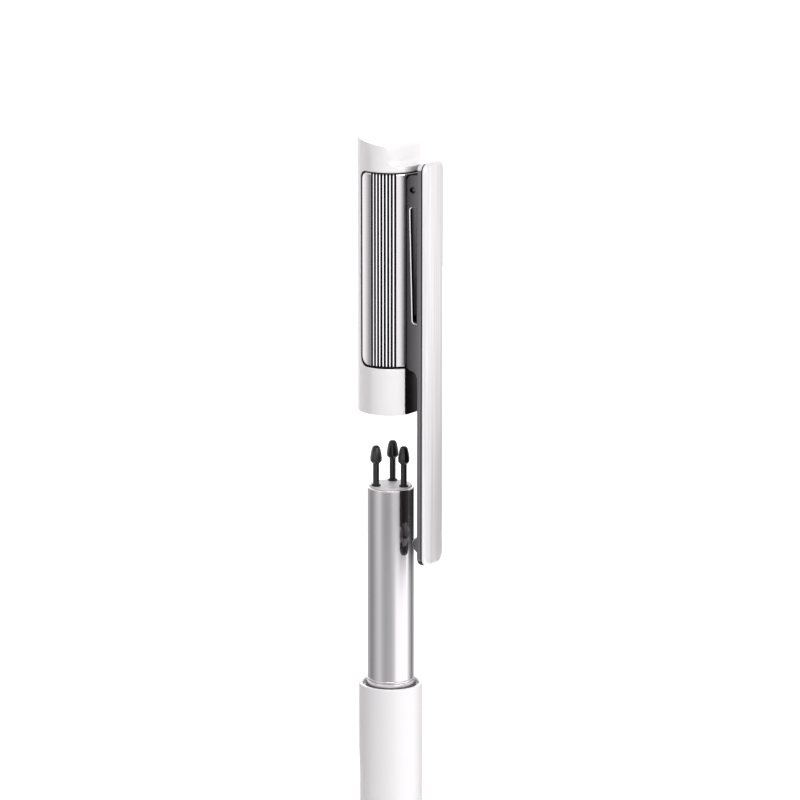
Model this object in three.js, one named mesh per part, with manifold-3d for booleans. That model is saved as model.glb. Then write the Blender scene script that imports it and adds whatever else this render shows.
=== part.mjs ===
// Stylus pen with a pull-off clip cap and a tube that stores three spare nibs. Millimetres.
// The pen's axis is Z, the writing tip points down, and the cap's clip lies towards +X.
// The origin is on the axis at the middle of the grip, where fingers hold the pen.
// The cap is drawn off upwards and stands clear above the spare nibs.
import * as THREE from 'three';
import { mergeVertices } from 'three/addons/utils/BufferGeometryUtils.js';
import Module from 'manifold-3d';

const degree = Math.PI / 180;

// Clearances between pieces
const fitGap = 0.05; // round a piece that is pressed, glued or moulded in place
const runGap = 0.08; // round a piece that slides or turns
const seamGap = 0.1; // the open seam round the cap's steel inlay
const cut = 1; // how far a cutting shape runs past the piece that it cuts

// Barrel
const barrelR = 4.7;
const barrelWall = 0.65;
const barrelLength = 97;
const shoulderZ = 83; // the barrel's open end above the origin
const barrelEdge = 0.15; // chamfer at the shoulder
const recessDepth = 1.5; // from the shoulder down to the tube's socket

// Flat along the barrel, over the magnets, with a shallow run-out at each end
const flatDepth = 0.22;
const flatLength = 72;
const flatDrop = 9.4; // from the shoulder to the flat's upper end
const flatRunOut = 5;
const flatAngle = 215 * degree;

// Storage tube and the collar round its foot
const tubeR = 3.425;
const tubeWall = 0.3;
const tubeReach = 29.9; // above the shoulder
const tubeSeat = 10; // held in the socket
const tubeEdge = 0.12;
const socketFloor = 2;
const collarR = 3.7;
const collarHeight = 1.35;

// Nibs, all alike: a swollen head on a slim stem
const nibHeadR = 0.8;
const nibCrownR = 0.44;
const nibHeadLength = 2.8;
const nibSwell = 0.68; // where the head is widest, as a share of its length from the tip
const nibShoulder = 0.84; // where it starts to narrow again, as the same share
const nibStemR = 0.43;
const nibLength = 17;
const spareReach = 6.1; // a spare nib's tip above the tube's rim
const spareCircleR = 2.35;
const spareFirstAngle = -1.5 * degree;
const spareCount = 3;

// Holder in the mouth of the tube, with a soft grommet for each nib
const holderLength = 12.5;
const holderDrop = 0.2; // its face below the tube's rim
const grommetWall = 0.15;
const grommetLength = 2.4;
const grommetLipR = 0.68;
const grommetLipHeight = 0.2;

// Nose cone
const noseLength = 18;
const noseTipR = 1.45;
const noseWall = 0.6;
const noseFullness = 1.7; // 1 is a straight cone
const noseEnd = 1.1; // thickness of the end that the nib comes through
const nibHoleR = 0.95;
const nibReach = 3; // the writing nib's tip beyond the nose
const spigotLength = 6;
const spigotWall = 0.6;
const sealSize = 0.7; // height of the seal ring in the spigot's groove
const sealDepth = 0.3;
const sealDrop = 2; // below the spigot's top

// Aerial: a ferrite core with its coil, and the holder that centres it
const ferriteR = 1.4;
const ferriteBoreR = 0.56;
const ferriteLength = 8.4;
const ferriteSetBack = 2.6; // from the nose's end
const coilThickness = 0.55;
const coilLength = 3.2;
const coilSetBack = 1.9; // from the ferrite's lower end
const coilHolderR = 2.75;
const coilHolderTop = 2; // above the barrel's lower end
const holderFlange = 2;

// Pressure sensor
const carrierR = 1;
const carrierHold = 3; // depth of the nib's stem in its carrier
const carrierFlangeR = 2.2;
const carrierFlangeHeight = 1;
const carrierRod = 10.4; // between the stem's end and the flange
const chamberR = 2.5;
const padThickness = 1.4;
const padR = 1.9;
const sensorThickness = 2;
const lidPlug = 1.9;
const lidThickness = 1;
const flexThickness = 0.15;
const flexWidth = 1.2;
const flexInset = 0.45; // depth of the flat on the housing that the flex lies along

// Electronics on a tray
const trayGap = 0.3; // between the tray's ends and what holds them
const trayFaceX = 0.35; // the tray's flat face, off the axis
const boardWidth = 6.4;
const boardThickness = 0.8;
const boardStart = 3; // above the tray's lower end
const boardEnd = 12; // below the tray's upper end
const chipSize = 3;
const chipHeight = 0.8;
const chipDistance = 20;
const capacitorCount = 4;
const capacitorSize = [0.8, 0.8, 1.6];
const capacitorStart = 7;
const capacitorPitch = 3;
const trimmerSize = [1.2, 2.6, 3];
const trimmerDistance = 30;
const magnetSize = [0.95, 2.5, 12];
const magnetLow = 14; // from the tray's lower end to the lower magnet
const magnetHigh = 6; // from the tray's upper end to the upper magnet

// Cap shell
const capR = 4.8;
const capWall = 0.7;
const capLift = 41.5; // the cap's rim above the shoulder
const capFloorHeight = 36.6; // the notch's floor above the rim
const capCeiling = 36.1;
const capPeak = 4; // the far side's top above the notch's floor
const topSlope = 9 * degree;
const notchX = 2.35; // where the slope drops into the notch
const notchRound = 0.7;
const notchFillet = 1;

// Steel core of the cap: a sleeve with a ribbed pad in the shell's window and a flat tongue
const coreBoreR = 3.6;
const padOuterR = 4.72;
const padReach = 124 * degree; // to each side of the clip
const padLow = 7.2;
const padHigh = 35.66;
const padCornerLow = 1.35;
const padCornerHigh = 0.75;
const seatX = 4.3; // the flat under the clip
const ribCount = 8;
const ribFirst = 47.3 * degree;
const ribPitch = 6.1 * degree;
const ribGroove = 2.9 * degree;
const ribFlank = 0.5 * degree;
const ribDepth = 0.22;
const gripRingHeight = 0.8;
const gripRingStart = 3;
const gripGrooveDepth = 0.25;

// Clip
const clipWidth = 5;
const clipTop = 37.6; // above the cap's rim
const clipBottom = -22.25;
const clipCorner = 1.3;
const clipInnerX = 6.33;
const barThickness = 0.82;
const plateThickness = 0.3;
const cheekWall = 0.6;
const cheekX = 4.57; // the cheeks' free edge
const cheekLow = 6.8;
const cheekHigh = 35.5;
const cheekCorner = 0.9;
const cheekFillet = 1.75; // where a cheek's lower end runs out into the bar
const cheekBevel = 0.6; // across the cheek's lower corner
const topWall = 0.8;
const topWallX = 5.15;
const slotLow = 13.85;
const slotHigh = 30.75;
const slotLeftHigh = 5.05;
const slotLeftLow = 5.5;
const slotCorner = 0.4;
const dimpleZ = -19.2;
const dimpleLength = 3;
const dimpleWidth = 2.6;
const dimpleGap = 0.1; // to the barrel's surface when the cap is seated

// Clip pivot and spring
const pinX = 5.7;
const pinZ = 33.35;
const pinR = 0.3;
const lugR = 0.5;
const lugWidth = 1.5;
const lugFoot = 2; // how far the lug's foot reaches below the pin, in lug radii
const springThickness = 0.2;
const springLow = 17;
const springStraight = 0.75; // above the pin, where the prongs bend in
const springTipX = 4.45;
const springTipRise = 1.25; // above the pin
const rivetZ = 19.5;
const rivetR = 0.5;
const rivetHeadR = 0.85;
const rivetHead = 0.3;
const rivetDepth = 0.5;

// Facets round a full circle
const roundShell = 64;
const roundRing = 40;
const roundInner = 24;
const roundSmall = 12;

// Levels that several pieces share
const boreR = barrelR - barrelWall;
const barrelLowZ = shoulderZ - barrelLength;
const noseTipZ = barrelLowZ - noseLength;
const socketFaceZ = shoulderZ - recessDepth;
const tubeFootZ = socketFaceZ - tubeSeat;
const tubeTopZ = shoulderZ + tubeReach;
const stemEndZ = tubeTopZ + spareReach - nibLength;
const socketLowZ = tubeFootZ - fitGap - socketFloor;
const capZ = shoulderZ + capLift;

const wasm = await Module();
wasm.setup();

// Makes a solid from closed geometry, dropping the faces that shrink to a line on the axis.
function solidFrom(geometry) {
  geometry.deleteAttribute('normal');
  geometry.deleteAttribute('uv');
  const merged = mergeVertices(geometry, 1e-5);
  const index = merged.index.array;
  const triVerts = [];
  for (let i = 0; i < index.length; i += 3) {
    const [a, b, c] = [index[i], index[i + 1], index[i + 2]];
    if (a !== b && b !== c && c !== a) triVerts.push(a, b, c);
  }
  return new wasm.Manifold(new wasm.Mesh({
    numProp: 3,
    vertProperties: new Float32Array(merged.attributes.position.array),
    triVerts: new Uint32Array(triVerts),
  }));
}

// Turns a profile of [radius, z] points round the axis. It runs up the outside and down the inside.
function turned(profile, facets) {
  const points = profile.map(([r, z]) => new THREE.Vector2(r, z));
  const geometry = new THREE.LatheGeometry([...points, points[0]], facets);
  geometry.rotateX(Math.PI / 2);
  geometry.rotateZ(Math.PI / 2);
  return solidFrom(geometry);
}

function disc(radius, low, high, facets) {
  return turned([[0, low], [radius, low], [radius, high], [0, high]], facets);
}

function ring(inner, outer, low, high, facets) {
  return turned([[inner, low], [outer, low], [outer, high], [inner, high]], facets);
}

function box(lowX, highX, lowY, highY, lowZ, highZ) {
  const geometry = new THREE.BoxGeometry(highX - lowX, highY - lowY, highZ - lowZ);
  geometry.translate((lowX + highX) / 2, (lowY + highY) / 2, (lowZ + highZ) / 2);
  return solidFrom(geometry);
}

// Extrudes a shape drawn in X and Z along Y, over the given width about the middle.
function acrossY(shape, width) {
  const geometry = new THREE.ExtrudeGeometry(shape, { depth: width, bevelEnabled: false, curveSegments: 8 });
  geometry.rotateX(Math.PI / 2);
  geometry.translate(0, width / 2, 0);
  return solidFrom(geometry);
}

// Extrudes a shape drawn in Y and Z along X, from one X to the other.
function alongX(shape, lowX, highX) {
  const depth = highX - lowX;
  const geometry = new THREE.ExtrudeGeometry(shape, { depth, bevelEnabled: false, curveSegments: 6 });
  geometry.rotateX(Math.PI / 2);
  geometry.rotateZ(Math.PI / 2);
  geometry.translate(lowX, 0, 0);
  return solidFrom(geometry);
}

// A plate bent round the axis. Each column gives its angle, bottom, top and outer radius.
function bentPlate(columns, innerR) {
  const positions = [];
  for (const { angle, low, high, outerR } of columns) {
    const c = Math.cos(angle);
    const s = Math.sin(angle);
    positions.push(innerR * c, innerR * s, low, outerR * c, outerR * s, low);
    positions.push(outerR * c, outerR * s, high, innerR * c, innerR * s, high);
  }
  const index = [0, 1, 2, 0, 2, 3];
  const last = 4 * (columns.length - 1);
  for (let a = 0; a < last; a += 4) {
    for (let k = 0; k < 4; k++) {
      const l = (k + 1) % 4;
      index.push(a + k, a + 4 + k, a + 4 + l, a + k, a + 4 + l, a + l);
    }
  }
  index.push(last, last + 2, last + 1, last, last + 3, last + 2);
  const geometry = new THREE.BufferGeometry();
  geometry.setAttribute('position', new THREE.Float32BufferAttribute(positions, 3));
  geometry.setIndex(index);
  return solidFrom(geometry);
}

function material(color, roughness, metalness) {
  return new THREE.MeshStandardMaterial({ color, roughness, metalness });
}

const whiteGloss = () => material(0xf4f1f3, 0.2, 0);
const polishedSteel = () => material(0xc9c6c8, 0.15, 1);
const darkSteel = () => material(0x6b6769, 0.35, 1);
const blackNib = () => material(0x1b1b1c, 0.45, 0);

// Adds one named piece to a group.
function addPiece(group, name, solid, finish) {
  const mesh = solid.getMesh();
  const geometry = new THREE.BufferGeometry();
  geometry.setAttribute('position', new THREE.BufferAttribute(mesh.vertProperties, 3));
  geometry.setIndex(new THREE.BufferAttribute(mesh.triVerts, 1));
  geometry.computeVertexNormals();
  const piece = new THREE.Mesh(geometry, finish);
  piece.name = name;
  group.add(piece);
  return piece;
}

// A tube with a chamfered shoulder and a flat along one side.
function barrel() {
  const profile = [
    [boreR, barrelLowZ], [barrelR, barrelLowZ], [barrelR, shoulderZ - barrelEdge],
    [barrelR - barrelEdge, shoulderZ], [boreR, shoulderZ],
  ];
  const flatX = barrelR - flatDepth;
  const flatHigh = shoulderZ - flatDrop;
  const flatLow = flatHigh - flatLength;
  const outside = barrelR + cut;
  const rise = (outside - flatX) * flatRunOut / flatDepth;
  const cutter = new THREE.Shape();
  cutter.moveTo(flatX, flatLow + flatRunOut);
  cutter.lineTo(outside, flatLow + flatRunOut - rise);
  cutter.lineTo(outside, flatHigh - flatRunOut + rise);
  cutter.lineTo(flatX, flatHigh - flatRunOut);
  const flat = acrossY(cutter, 2 * barrelR).rotate([0, 0, flatAngle / degree]);
  return turned(profile, roundShell).subtract(flat);
}

function storageTube() {
  const inner = tubeR - tubeWall;
  return turned([
    [inner, tubeFootZ], [tubeR, tubeFootZ], [tubeR, tubeTopZ - tubeEdge],
    [tubeR - tubeEdge, tubeTopZ], [inner, tubeTopZ],
  ], roundShell);
}

// The plug in the barrel's end that the tube stands in.
function tubeSocket() {
  const outer = boreR - fitGap;
  const inner = tubeR + fitGap;
  return turned([
    [0, socketLowZ], [outer, socketLowZ], [outer, socketFaceZ],
    [inner, socketFaceZ], [inner, tubeFootZ - fitGap], [0, tubeFootZ - fitGap],
  ], roundRing);
}

// A nib standing on its stem, with its tip at z = 0.
function nib() {
  const crown = 0.16; // height of the rounded tip
  const middleR = (nibHeadR + nibCrownR) / 2 + 0.05;
  const middle = nibHeadLength * (nibSwell + crown / nibHeadLength) / 3;
  return turned([
    [0, -nibLength], [nibStemR, -nibLength], [nibStemR, -nibHeadLength],
    [nibHeadR * 0.8, -nibHeadLength * 0.95], [nibHeadR, -nibHeadLength * nibShoulder],
    [nibHeadR, -nibHeadLength * nibSwell], [middleR, -middle], [nibCrownR, -crown],
    [nibCrownR * 0.6, -crown / 5], [0, 0],
  ], roundSmall);
}

function spareAngle(i) {
  return spareFirstAngle + i * 2 * Math.PI / spareCount;
}

// The plug in the tube's mouth, bored for each nib's grommet and stem.
function nibHolder() {
  const face = tubeTopZ - holderDrop;
  let holder = disc(tubeR - tubeWall - fitGap, face - holderLength, face, roundInner);
  for (let i = 0; i < spareCount; i++) {
    const grommetSpace = nibStemR + fitGap + grommetWall + fitGap;
    const hole = disc(grommetSpace, face - grommetLength - fitGap, face + cut, roundSmall)
      .add(disc(nibStemR + runGap, stemEndZ - fitGap, face, roundSmall));
    const a = spareAngle(i);
    holder = holder.subtract(hole.translate([spareCircleR * Math.cos(a), spareCircleR * Math.sin(a), 0]));
  }
  return holder;
}

function grommet() {
  const inner = nibStemR + fitGap;
  const outer = inner + grommetWall;
  return turned([
    [inner, -grommetLength], [outer, -grommetLength], [outer, fitGap],
    [grommetLipR, fitGap], [grommetLipR, grommetLipHeight], [inner, grommetLipHeight],
  ], roundSmall);
}

// The nose's outer radius at a share of its length above the tip.
function noseRadius(share) {
  return noseTipR + (barrelR - noseTipR) * (1 - (1 - share) ** noseFullness);
}

const spigotR = boreR - fitGap;
const spigotBoreR = spigotR - spigotWall;
const spigotTopZ = barrelLowZ + spigotLength;
const sealZ = spigotTopZ - sealDrop - sealSize;

function noseCone() {
  const steps = 8;
  const profile = [[nibHoleR, noseTipZ]];
  for (let i = 0; i <= steps; i++) {
    profile.push([noseRadius(i / steps), noseTipZ + noseLength * i / steps]);
  }
  profile[profile.length - 1][1] -= fitGap;
  const grooveR = spigotR - sealDepth;
  profile.push(
    [spigotR, barrelLowZ - fitGap], [spigotR, sealZ - fitGap], [grooveR, sealZ - fitGap],
    [grooveR, sealZ + sealSize + fitGap], [spigotR, sealZ + sealSize + fitGap],
    [spigotR, spigotTopZ], [spigotBoreR, spigotTopZ],
  );
  for (let i = steps; i >= 0; i -= 2) {
    const z = noseTipZ + noseLength * i / steps;
    const inner = Math.min(spigotBoreR, noseRadius(i / steps) - noseWall);
    if (z > noseTipZ + noseEnd && inner > nibHoleR) profile.push([inner, z]);
  }
  profile.push([nibHoleR, noseTipZ + noseEnd]);
  return turned(profile, roundRing);
}

const ferriteLowZ = noseTipZ + ferriteSetBack;
const ferriteTopZ = ferriteLowZ + ferriteLength;
const coilLowZ = ferriteLowZ + coilSetBack;
const coilTopZ = coilLowZ + coilLength;
const coilHolderTopZ = barrelLowZ + coilHolderTop;
const housingR = spigotBoreR - fitGap;
const nibTipZ = noseTipZ - nibReach;
const stemTopZ = nibTipZ + nibLength;
const flangeZ = stemTopZ + fitGap + carrierRod;
const padZ = flangeZ + carrierFlangeHeight + fitGap;
const sensorZ = padZ + padThickness + fitGap;
const lidZ = sensorZ + sensorThickness + fitGap;
const housingTopZ = lidZ + lidPlug;
const trayZ = housingTopZ + fitGap + lidThickness + trayGap;
const trayLength = socketLowZ - trayGap - trayZ;
const boardLength = trayLength - boardStart - boardEnd;
const magnetPlaces = [magnetLow, trayLength - magnetHigh - magnetSize[2]];

// Holds the ferrite's upper end and guides the nib's carrier.
function coilHolder() {
  const flangeLow = coilHolderTopZ - holderFlange;
  return turned([
    [ferriteR + fitGap, coilTopZ + fitGap], [coilHolderR, coilTopZ + fitGap], [coilHolderR, flangeLow],
    [housingR, flangeLow], [housingR, coilHolderTopZ], [carrierR + runGap, coilHolderTopZ],
    [carrierR + runGap, ferriteTopZ + fitGap], [ferriteR + fitGap, ferriteTopZ + fitGap],
  ], roundInner).subtract(flexCut());
}

// The rod that takes the nib's stem and presses on the sensor's pad.
function nibCarrier() {
  const low = stemTopZ - carrierHold;
  return turned([
    [nibStemR + fitGap, low], [carrierR, low], [carrierR, flangeZ], [carrierFlangeR, flangeZ],
    [carrierFlangeR, flangeZ + carrierFlangeHeight], [0, flangeZ + carrierFlangeHeight],
    [0, stemTopZ + fitGap], [nibStemR + fitGap, stemTopZ + fitGap],
  ], roundInner);
}

// Clears the flex's way along one side of the coil's holder and the sensor.
function flexCut() {
  const x = flexInset - housingR;
  const space = box(-barrelR, x, -barrelR, barrelR, coilHolderTopZ - holderFlange - cut, trayZ);
  return space.rotate([0, 0, flatAngle / degree]);
}

function sensorHousing() {
  const low = coilHolderTopZ + fitGap;
  const guideTop = flangeZ - fitGap;
  return turned([
    [carrierR + runGap, low], [housingR, low], [housingR, housingTopZ],
    [chamberR, housingTopZ], [chamberR, guideTop], [carrierR + runGap, guideTop],
  ], roundInner).subtract(flexCut());
}

function sensorLid() {
  const plugR = chamberR - fitGap;
  return turned([
    [0, lidZ], [plugR, lidZ], [plugR, housingTopZ + fitGap], [housingR, housingTopZ + fitGap],
    [housingR, housingTopZ + fitGap + lidThickness], [0, housingTopZ + fitGap + lidThickness],
  ], roundInner).subtract(flexCut());
}

// The strip that joins the coil and the sensor to the board, beside the board's underside.
function sensorFlex() {
  const outerX = flexInset - housingR - fitGap;
  const innerX = trayFaceX - fitGap - boardThickness - fitGap;
  const low = coilHolderTopZ - holderFlange + fitGap;
  const rise = trayZ + boardStart;
  const t = flexThickness;
  const strip = new THREE.Shape();
  strip.moveTo(outerX, low);
  strip.lineTo(outerX, trayZ);
  strip.lineTo(innerX, rise);
  strip.lineTo(innerX, rise + 2 * flexWidth);
  strip.lineTo(innerX - t, rise + 2 * flexWidth);
  strip.lineTo(innerX - t, rise + t / 2);
  strip.lineTo(outerX - t, trayZ + t / 2);
  strip.lineTo(outerX - t, low);
  return acrossY(strip, flexWidth);
}

// The half-round tray that fills the flat's side of the bore, with a pocket for each magnet.
function boardTray() {
  let tray = disc(boreR - fitGap, 0, trayLength, roundInner);
  tray = tray.subtract(box(-boreR, trayFaceX, -boreR, boreR, -cut, trayLength + cut));
  const [depth, width, length] = magnetSize;
  const pocketX = boreR - depth - 3 * fitGap;
  for (const low of magnetPlaces) {
    const half = width / 2 + fitGap;
    const pocket = box(pocketX - fitGap, boreR + cut, -half, half, low - fitGap, low + length + fitGap);
    tray = tray.subtract(pocket);
  }
  return tray;
}

function magnet(low) {
  const [depth, width, length] = magnetSize;
  const inner = boreR - depth - 3 * fitGap;
  const block = box(inner, inner + depth, -width / 2, width / 2, low, low + length);
  return block.intersect(disc(boreR - fitGap, low - cut, low + length + cut, roundInner));
}

const boardBackX = trayFaceX - fitGap - boardThickness;

// A part soldered to the board's underside, [height, width, length], at a distance along the board.
function onBoard([height, width, length], distance) {
  const top = boardBackX - fitGap / 2;
  const low = boardStart + distance;
  return box(top - height, top, -width / 2, width / 2, low, low + length);
}

// Angles from one side to the other, with extra ones at each groove's edges.
function padAngles() {
  const step = 4 * degree;
  const angles = new Set();
  const flatEdge = Math.acos(seatX / padOuterR);
  const lastGroove = ribFirst + (ribCount - 0.5) * ribPitch;
  for (let a = 0; a < flatEdge; a += step) angles.add(a);
  for (let a = flatEdge; a < ribFirst - ribPitch / 2; a += step) angles.add(a);
  for (let i = 0; i < ribCount; i++) {
    const middle = ribFirst + i * ribPitch;
    for (const side of [-1, 1]) {
      angles.add(middle + side * (ribGroove / 2 + ribFlank));
      angles.add(middle + side * ribGroove / 2);
    }
  }
  for (let a = lastGroove; a < padReach; a += step) angles.add(a);
  // Steps through the rounded corners, closer together where a corner turns fastest
  for (const share of [1, 0.85, 0.65, 0.4, 0.18, 0.05]) {
    angles.add(padReach - share * padCornerLow / padOuterR);
    angles.add(padReach - share * padCornerHigh / padOuterR);
  }
  angles.add(padReach);
  const half = [...angles].sort((a, b) => a - b);
  return [...half.slice(1).reverse().map((a) => -a), ...half];
}

// How far a rounded corner cuts in at an angle, with the corner's radius measured along the surface.
function cornerCut(angle, reach, radius) {
  const along = (reach - Math.abs(angle)) * padOuterR;
  if (along >= radius) return 0;
  return radius - Math.sqrt(Math.max(0, radius ** 2 - (radius - along) ** 2));
}

function padSurface(angle) {
  const flatR = seatX / Math.max(Math.cos(angle), 0.1);
  const base = Math.cos(angle) > 0 ? Math.min(padOuterR, flatR) : padOuterR;
  for (let i = 0; i < ribCount; i++) {
    const off = Math.abs(Math.abs(angle) - ribFirst - i * ribPitch);
    if (off < ribGroove / 2 + ribFlank / 2) return base - ribDepth;
  }
  return base;
}

const tongueReach = Math.acos(seatX / capR);

function tongueColumns(reach, low, high, surface) {
  const steps = 12;
  return Array.from({ length: steps + 1 }, (_, i) => {
    const angle = reach * (2 * i / steps - 1);
    return { angle, low, high, outerR: surface(angle) };
  });
}

// The sleeve inside the cap, its ribbed pad, its tongue and the lug that carries the clip's pin.
function capCore() {
  const sleeveR = capR - capWall - fitGap;
  const grooveR = coreBoreR + gripGrooveDepth;
  const sleeve = turned([
    [coreBoreR, fitGap], [sleeveR, fitGap], [sleeveR, padHigh], [coreBoreR, padHigh],
    [coreBoreR, gripRingStart + gripRingHeight + fitGap], [grooveR, gripRingStart + gripRingHeight + fitGap],
    [grooveR, gripRingStart - fitGap], [coreBoreR, gripRingStart - fitGap],
  ], roundShell);
  const inside = (coreBoreR + sleeveR) / 2;
  const pad = bentPlate(padAngles().map((angle) => ({
    angle,
    low: padLow + cornerCut(angle, padReach, padCornerLow),
    high: padHigh - cornerCut(angle, padReach, padCornerHigh),
    outerR: padSurface(angle),
  })), inside);
  const tongueLow = fitGap;
  const flat = (angle) => seatX / Math.cos(angle);
  const tongue = bentPlate(tongueColumns(tongueReach, tongueLow, padLow + cut, flat), inside);
  const lug = new THREE.Shape();
  lug.moveTo((seatX + inside) / 2, pinZ - lugFoot * lugR);
  lug.lineTo(pinX - lugR / 2, pinZ - (1 + lugFoot) / 2 * lugR);
  lug.absarc(pinX, pinZ, lugR, -Math.PI / 2, Math.PI / 2, false);
  lug.lineTo((seatX + inside) / 2, pinZ + lugR);
  const bore = new THREE.Path();
  bore.absarc(pinX, pinZ, pinR + fitGap, 0, 2 * Math.PI, true);
  lug.holes.push(bore);
  return sleeve.add(pad).add(tongue).add(acrossY(lug, lugWidth));
}

// The slope, the drop and the floor that shape the cap's top, seen from the side.
function topOutline() {
  const outside = capR + cut;
  const edgeZ = capFloorHeight + capPeak - (notchX + capR) * Math.tan(topSlope);
  const outline = new THREE.Shape();
  outline.moveTo(-outside, -cut);
  outline.lineTo(outside, -cut);
  outline.lineTo(outside, capFloorHeight);
  const filletX = notchX + notchFillet;
  outline.lineTo(filletX, capFloorHeight);
  outline.absarc(filletX, capFloorHeight + notchFillet, notchFillet, -Math.PI / 2, Math.PI, true);
  outline.lineTo(notchX, edgeZ - notchRound);
  outline.quadraticCurveTo(notchX, edgeZ, notchX - notchRound, edgeZ + notchRound * Math.tan(topSlope));
  outline.lineTo(-outside, edgeZ + (notchX + outside) * Math.tan(topSlope));
  return outline;
}

// The white shell with its window, the tongue's slot and the notched top.
function capShell() {
  const blank = disc(capR, 0, capFloorHeight + capPeak + cut, roundShell);
  const window = bentPlate(padAngles().map((angle) => {
    const wide = angle * (1 + seamGap / capR / padReach);
    return {
      angle: wide,
      low: padLow - seamGap + cornerCut(angle, padReach, padCornerLow),
      high: padHigh + seamGap - cornerCut(angle, padReach, padCornerHigh),
      outerR: capR + cut,
    };
  }), coreBoreR);
  const slotReach = tongueReach + seamGap / capR;
  const slot = bentPlate(tongueColumns(slotReach, -cut, padLow + cut, () => capR + cut), coreBoreR);
  return blank.intersect(acrossY(topOutline(), 4 * capR))
    .subtract(disc(capR - capWall, -cut, capCeiling, roundShell))
    .subtract(window)
    .subtract(slot);
}

function gripRing() {
  const outer = coreBoreR + gripGrooveDepth - fitGap / 2;
  return ring(tubeR + fitGap, outer, gripRingStart, gripRingStart + gripRingHeight, roundRing);
}

// The clip's face seen along X: a long strip with rounded corners.
function clipOutline() {
  const half = clipWidth / 2;
  const r = clipCorner;
  const outline = new THREE.Shape();
  outline.moveTo(-half, clipBottom + r);
  outline.absarc(-half + r, clipBottom + r, r, Math.PI, 1.5 * Math.PI, false);
  outline.absarc(half - r, clipBottom + r, r, 1.5 * Math.PI, 2 * Math.PI, false);
  outline.absarc(half - r, clipTop - r, r, 0, Math.PI / 2, false);
  outline.absarc(-half + r, clipTop - r, r, Math.PI / 2, Math.PI, false);
  return outline;
}

// One cheek seen along Y, with its long slot and the hole for the pin.
function cheekOutline() {
  const root = clipInnerX + barThickness / 2;
  const outline = new THREE.Shape();
  outline.moveTo(root, cheekHigh);
  outline.lineTo(cheekX + cheekCorner, cheekHigh);
  outline.absarc(cheekX + cheekCorner, cheekHigh - cheekCorner, cheekCorner, Math.PI / 2, Math.PI, false);
  outline.lineTo(cheekX, cheekLow + cheekBevel);
  outline.lineTo(cheekX + cheekBevel, cheekLow);
  outline.lineTo(clipInnerX - 0.6 * cheekFillet, cheekLow);
  outline.quadraticCurveTo(clipInnerX, cheekLow, clipInnerX, cheekLow - cheekFillet);
  outline.lineTo(root, cheekLow - cheekFillet);
  const slot = new THREE.Path();
  const right = clipInnerX - slotCorner / 2;
  slot.moveTo(right, slotLow);
  slot.lineTo(slotLeftLow + slotCorner, slotLow);
  slot.quadraticCurveTo(slotLeftLow, slotLow, slotLeftLow, slotLow + slotCorner);
  slot.lineTo(slotLeftHigh, slotHigh - slotCorner);
  slot.quadraticCurveTo(slotLeftHigh, slotHigh, slotLeftHigh + slotCorner, slotHigh);
  slot.lineTo(right, slotHigh);
  const hole = new THREE.Path();
  hole.absarc(pinX, pinZ, pinR + runGap, 0, 2 * Math.PI, true);
  outline.holes.push(slot, hole);
  return outline;
}

// The raised rib across the clip's inner face that presses on what the clip holds.
function dimple() {
  const tipX = barrelR + dimpleGap;
  const height = clipInnerX - tipX;
  const geometry = new THREE.SphereGeometry(1, 16, 12);
  geometry.scale(height, dimpleWidth / 2, dimpleLength / 2);
  geometry.translate(clipInnerX, 0, dimpleZ);
  return solidFrom(geometry).intersect(box(0, clipInnerX + fitGap, -clipWidth, clipWidth, clipBottom, 0));
}

// The folded steel body of the clip: a bar with two cheeks that straddle the lug.
function clipChannel() {
  const bar = alongX(clipOutline(), clipInnerX, clipInnerX + barThickness);
  const cheeks = acrossY(cheekOutline(), clipWidth);
  const inner = clipWidth / 2 - cheekWall;
  const lidHalf = inner + fitGap;
  const space = box(0, clipInnerX, -inner, inner, cheekLow - cheekFillet - cut, cheekHigh + cut);
  const lid = box(topWallX, clipInnerX + fitGap, -lidHalf, lidHalf, cheekHigh - topWall, cheekHigh);
  const rivetHole = disc(rivetR + fitGap, 0, cut, roundSmall).rotate([0, 90, 0])
    .translate([clipInnerX + rivetDepth - cut, 0, rivetZ]);
  return cheeks.subtract(space).add(bar).add(lid).add(dimple()).subtract(rivetHole);
}

// A leaf riveted inside the bar. Its two prongs pass the lug and press on the core above the pin.
function clipSpring() {
  const t = springThickness;
  const outer = clipInnerX - fitGap;
  const bendZ = pinZ + springStraight;
  const leaf = new THREE.Shape();
  leaf.moveTo(outer, springLow);
  leaf.lineTo(outer, bendZ);
  leaf.lineTo(springTipX, pinZ + springTipRise - fitGap);
  leaf.lineTo(springTipX, pinZ + springTipRise - fitGap - t);
  leaf.lineTo(outer - t, bendZ - t);
  leaf.lineTo(outer - t, springLow);
  const width = clipWidth - 2 * cheekWall - 4 * fitGap;
  const forkHalf = lugWidth / 2 + runGap;
  const fork = box(0, clipInnerX, -forkHalf, forkHalf, pinZ - (lugFoot + 1) * lugR, clipTop);
  const hole = disc(rivetR + fitGap, clipInnerX - cut, clipInnerX + cut, roundSmall)
    .rotate([0, 90, 0]).translate([0, 0, rivetZ]);
  return acrossY(leaf, width).subtract(fork).subtract(hole);
}

function springRivet() {
  const seat = clipInnerX - fitGap - springThickness - fitGap / 2;
  const stemEnd = clipInnerX + rivetDepth - fitGap;
  return turned([
    [0, seat - rivetHead], [rivetHeadR * 0.7, seat - rivetHead], [rivetHeadR, seat - rivetHead / 3],
    [rivetHeadR, seat], [rivetR, seat], [rivetR, stemEnd], [0, stemEnd],
  ], roundSmall).rotate([0, 90, 0]).translate([0, 0, rivetZ]);
}

function clipPin() {
  const half = clipWidth / 2 - fitGap;
  return disc(pinR, -half, half, roundSmall).rotate([90, 0, 0]).translate([pinX, 0, pinZ]);
}

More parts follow.
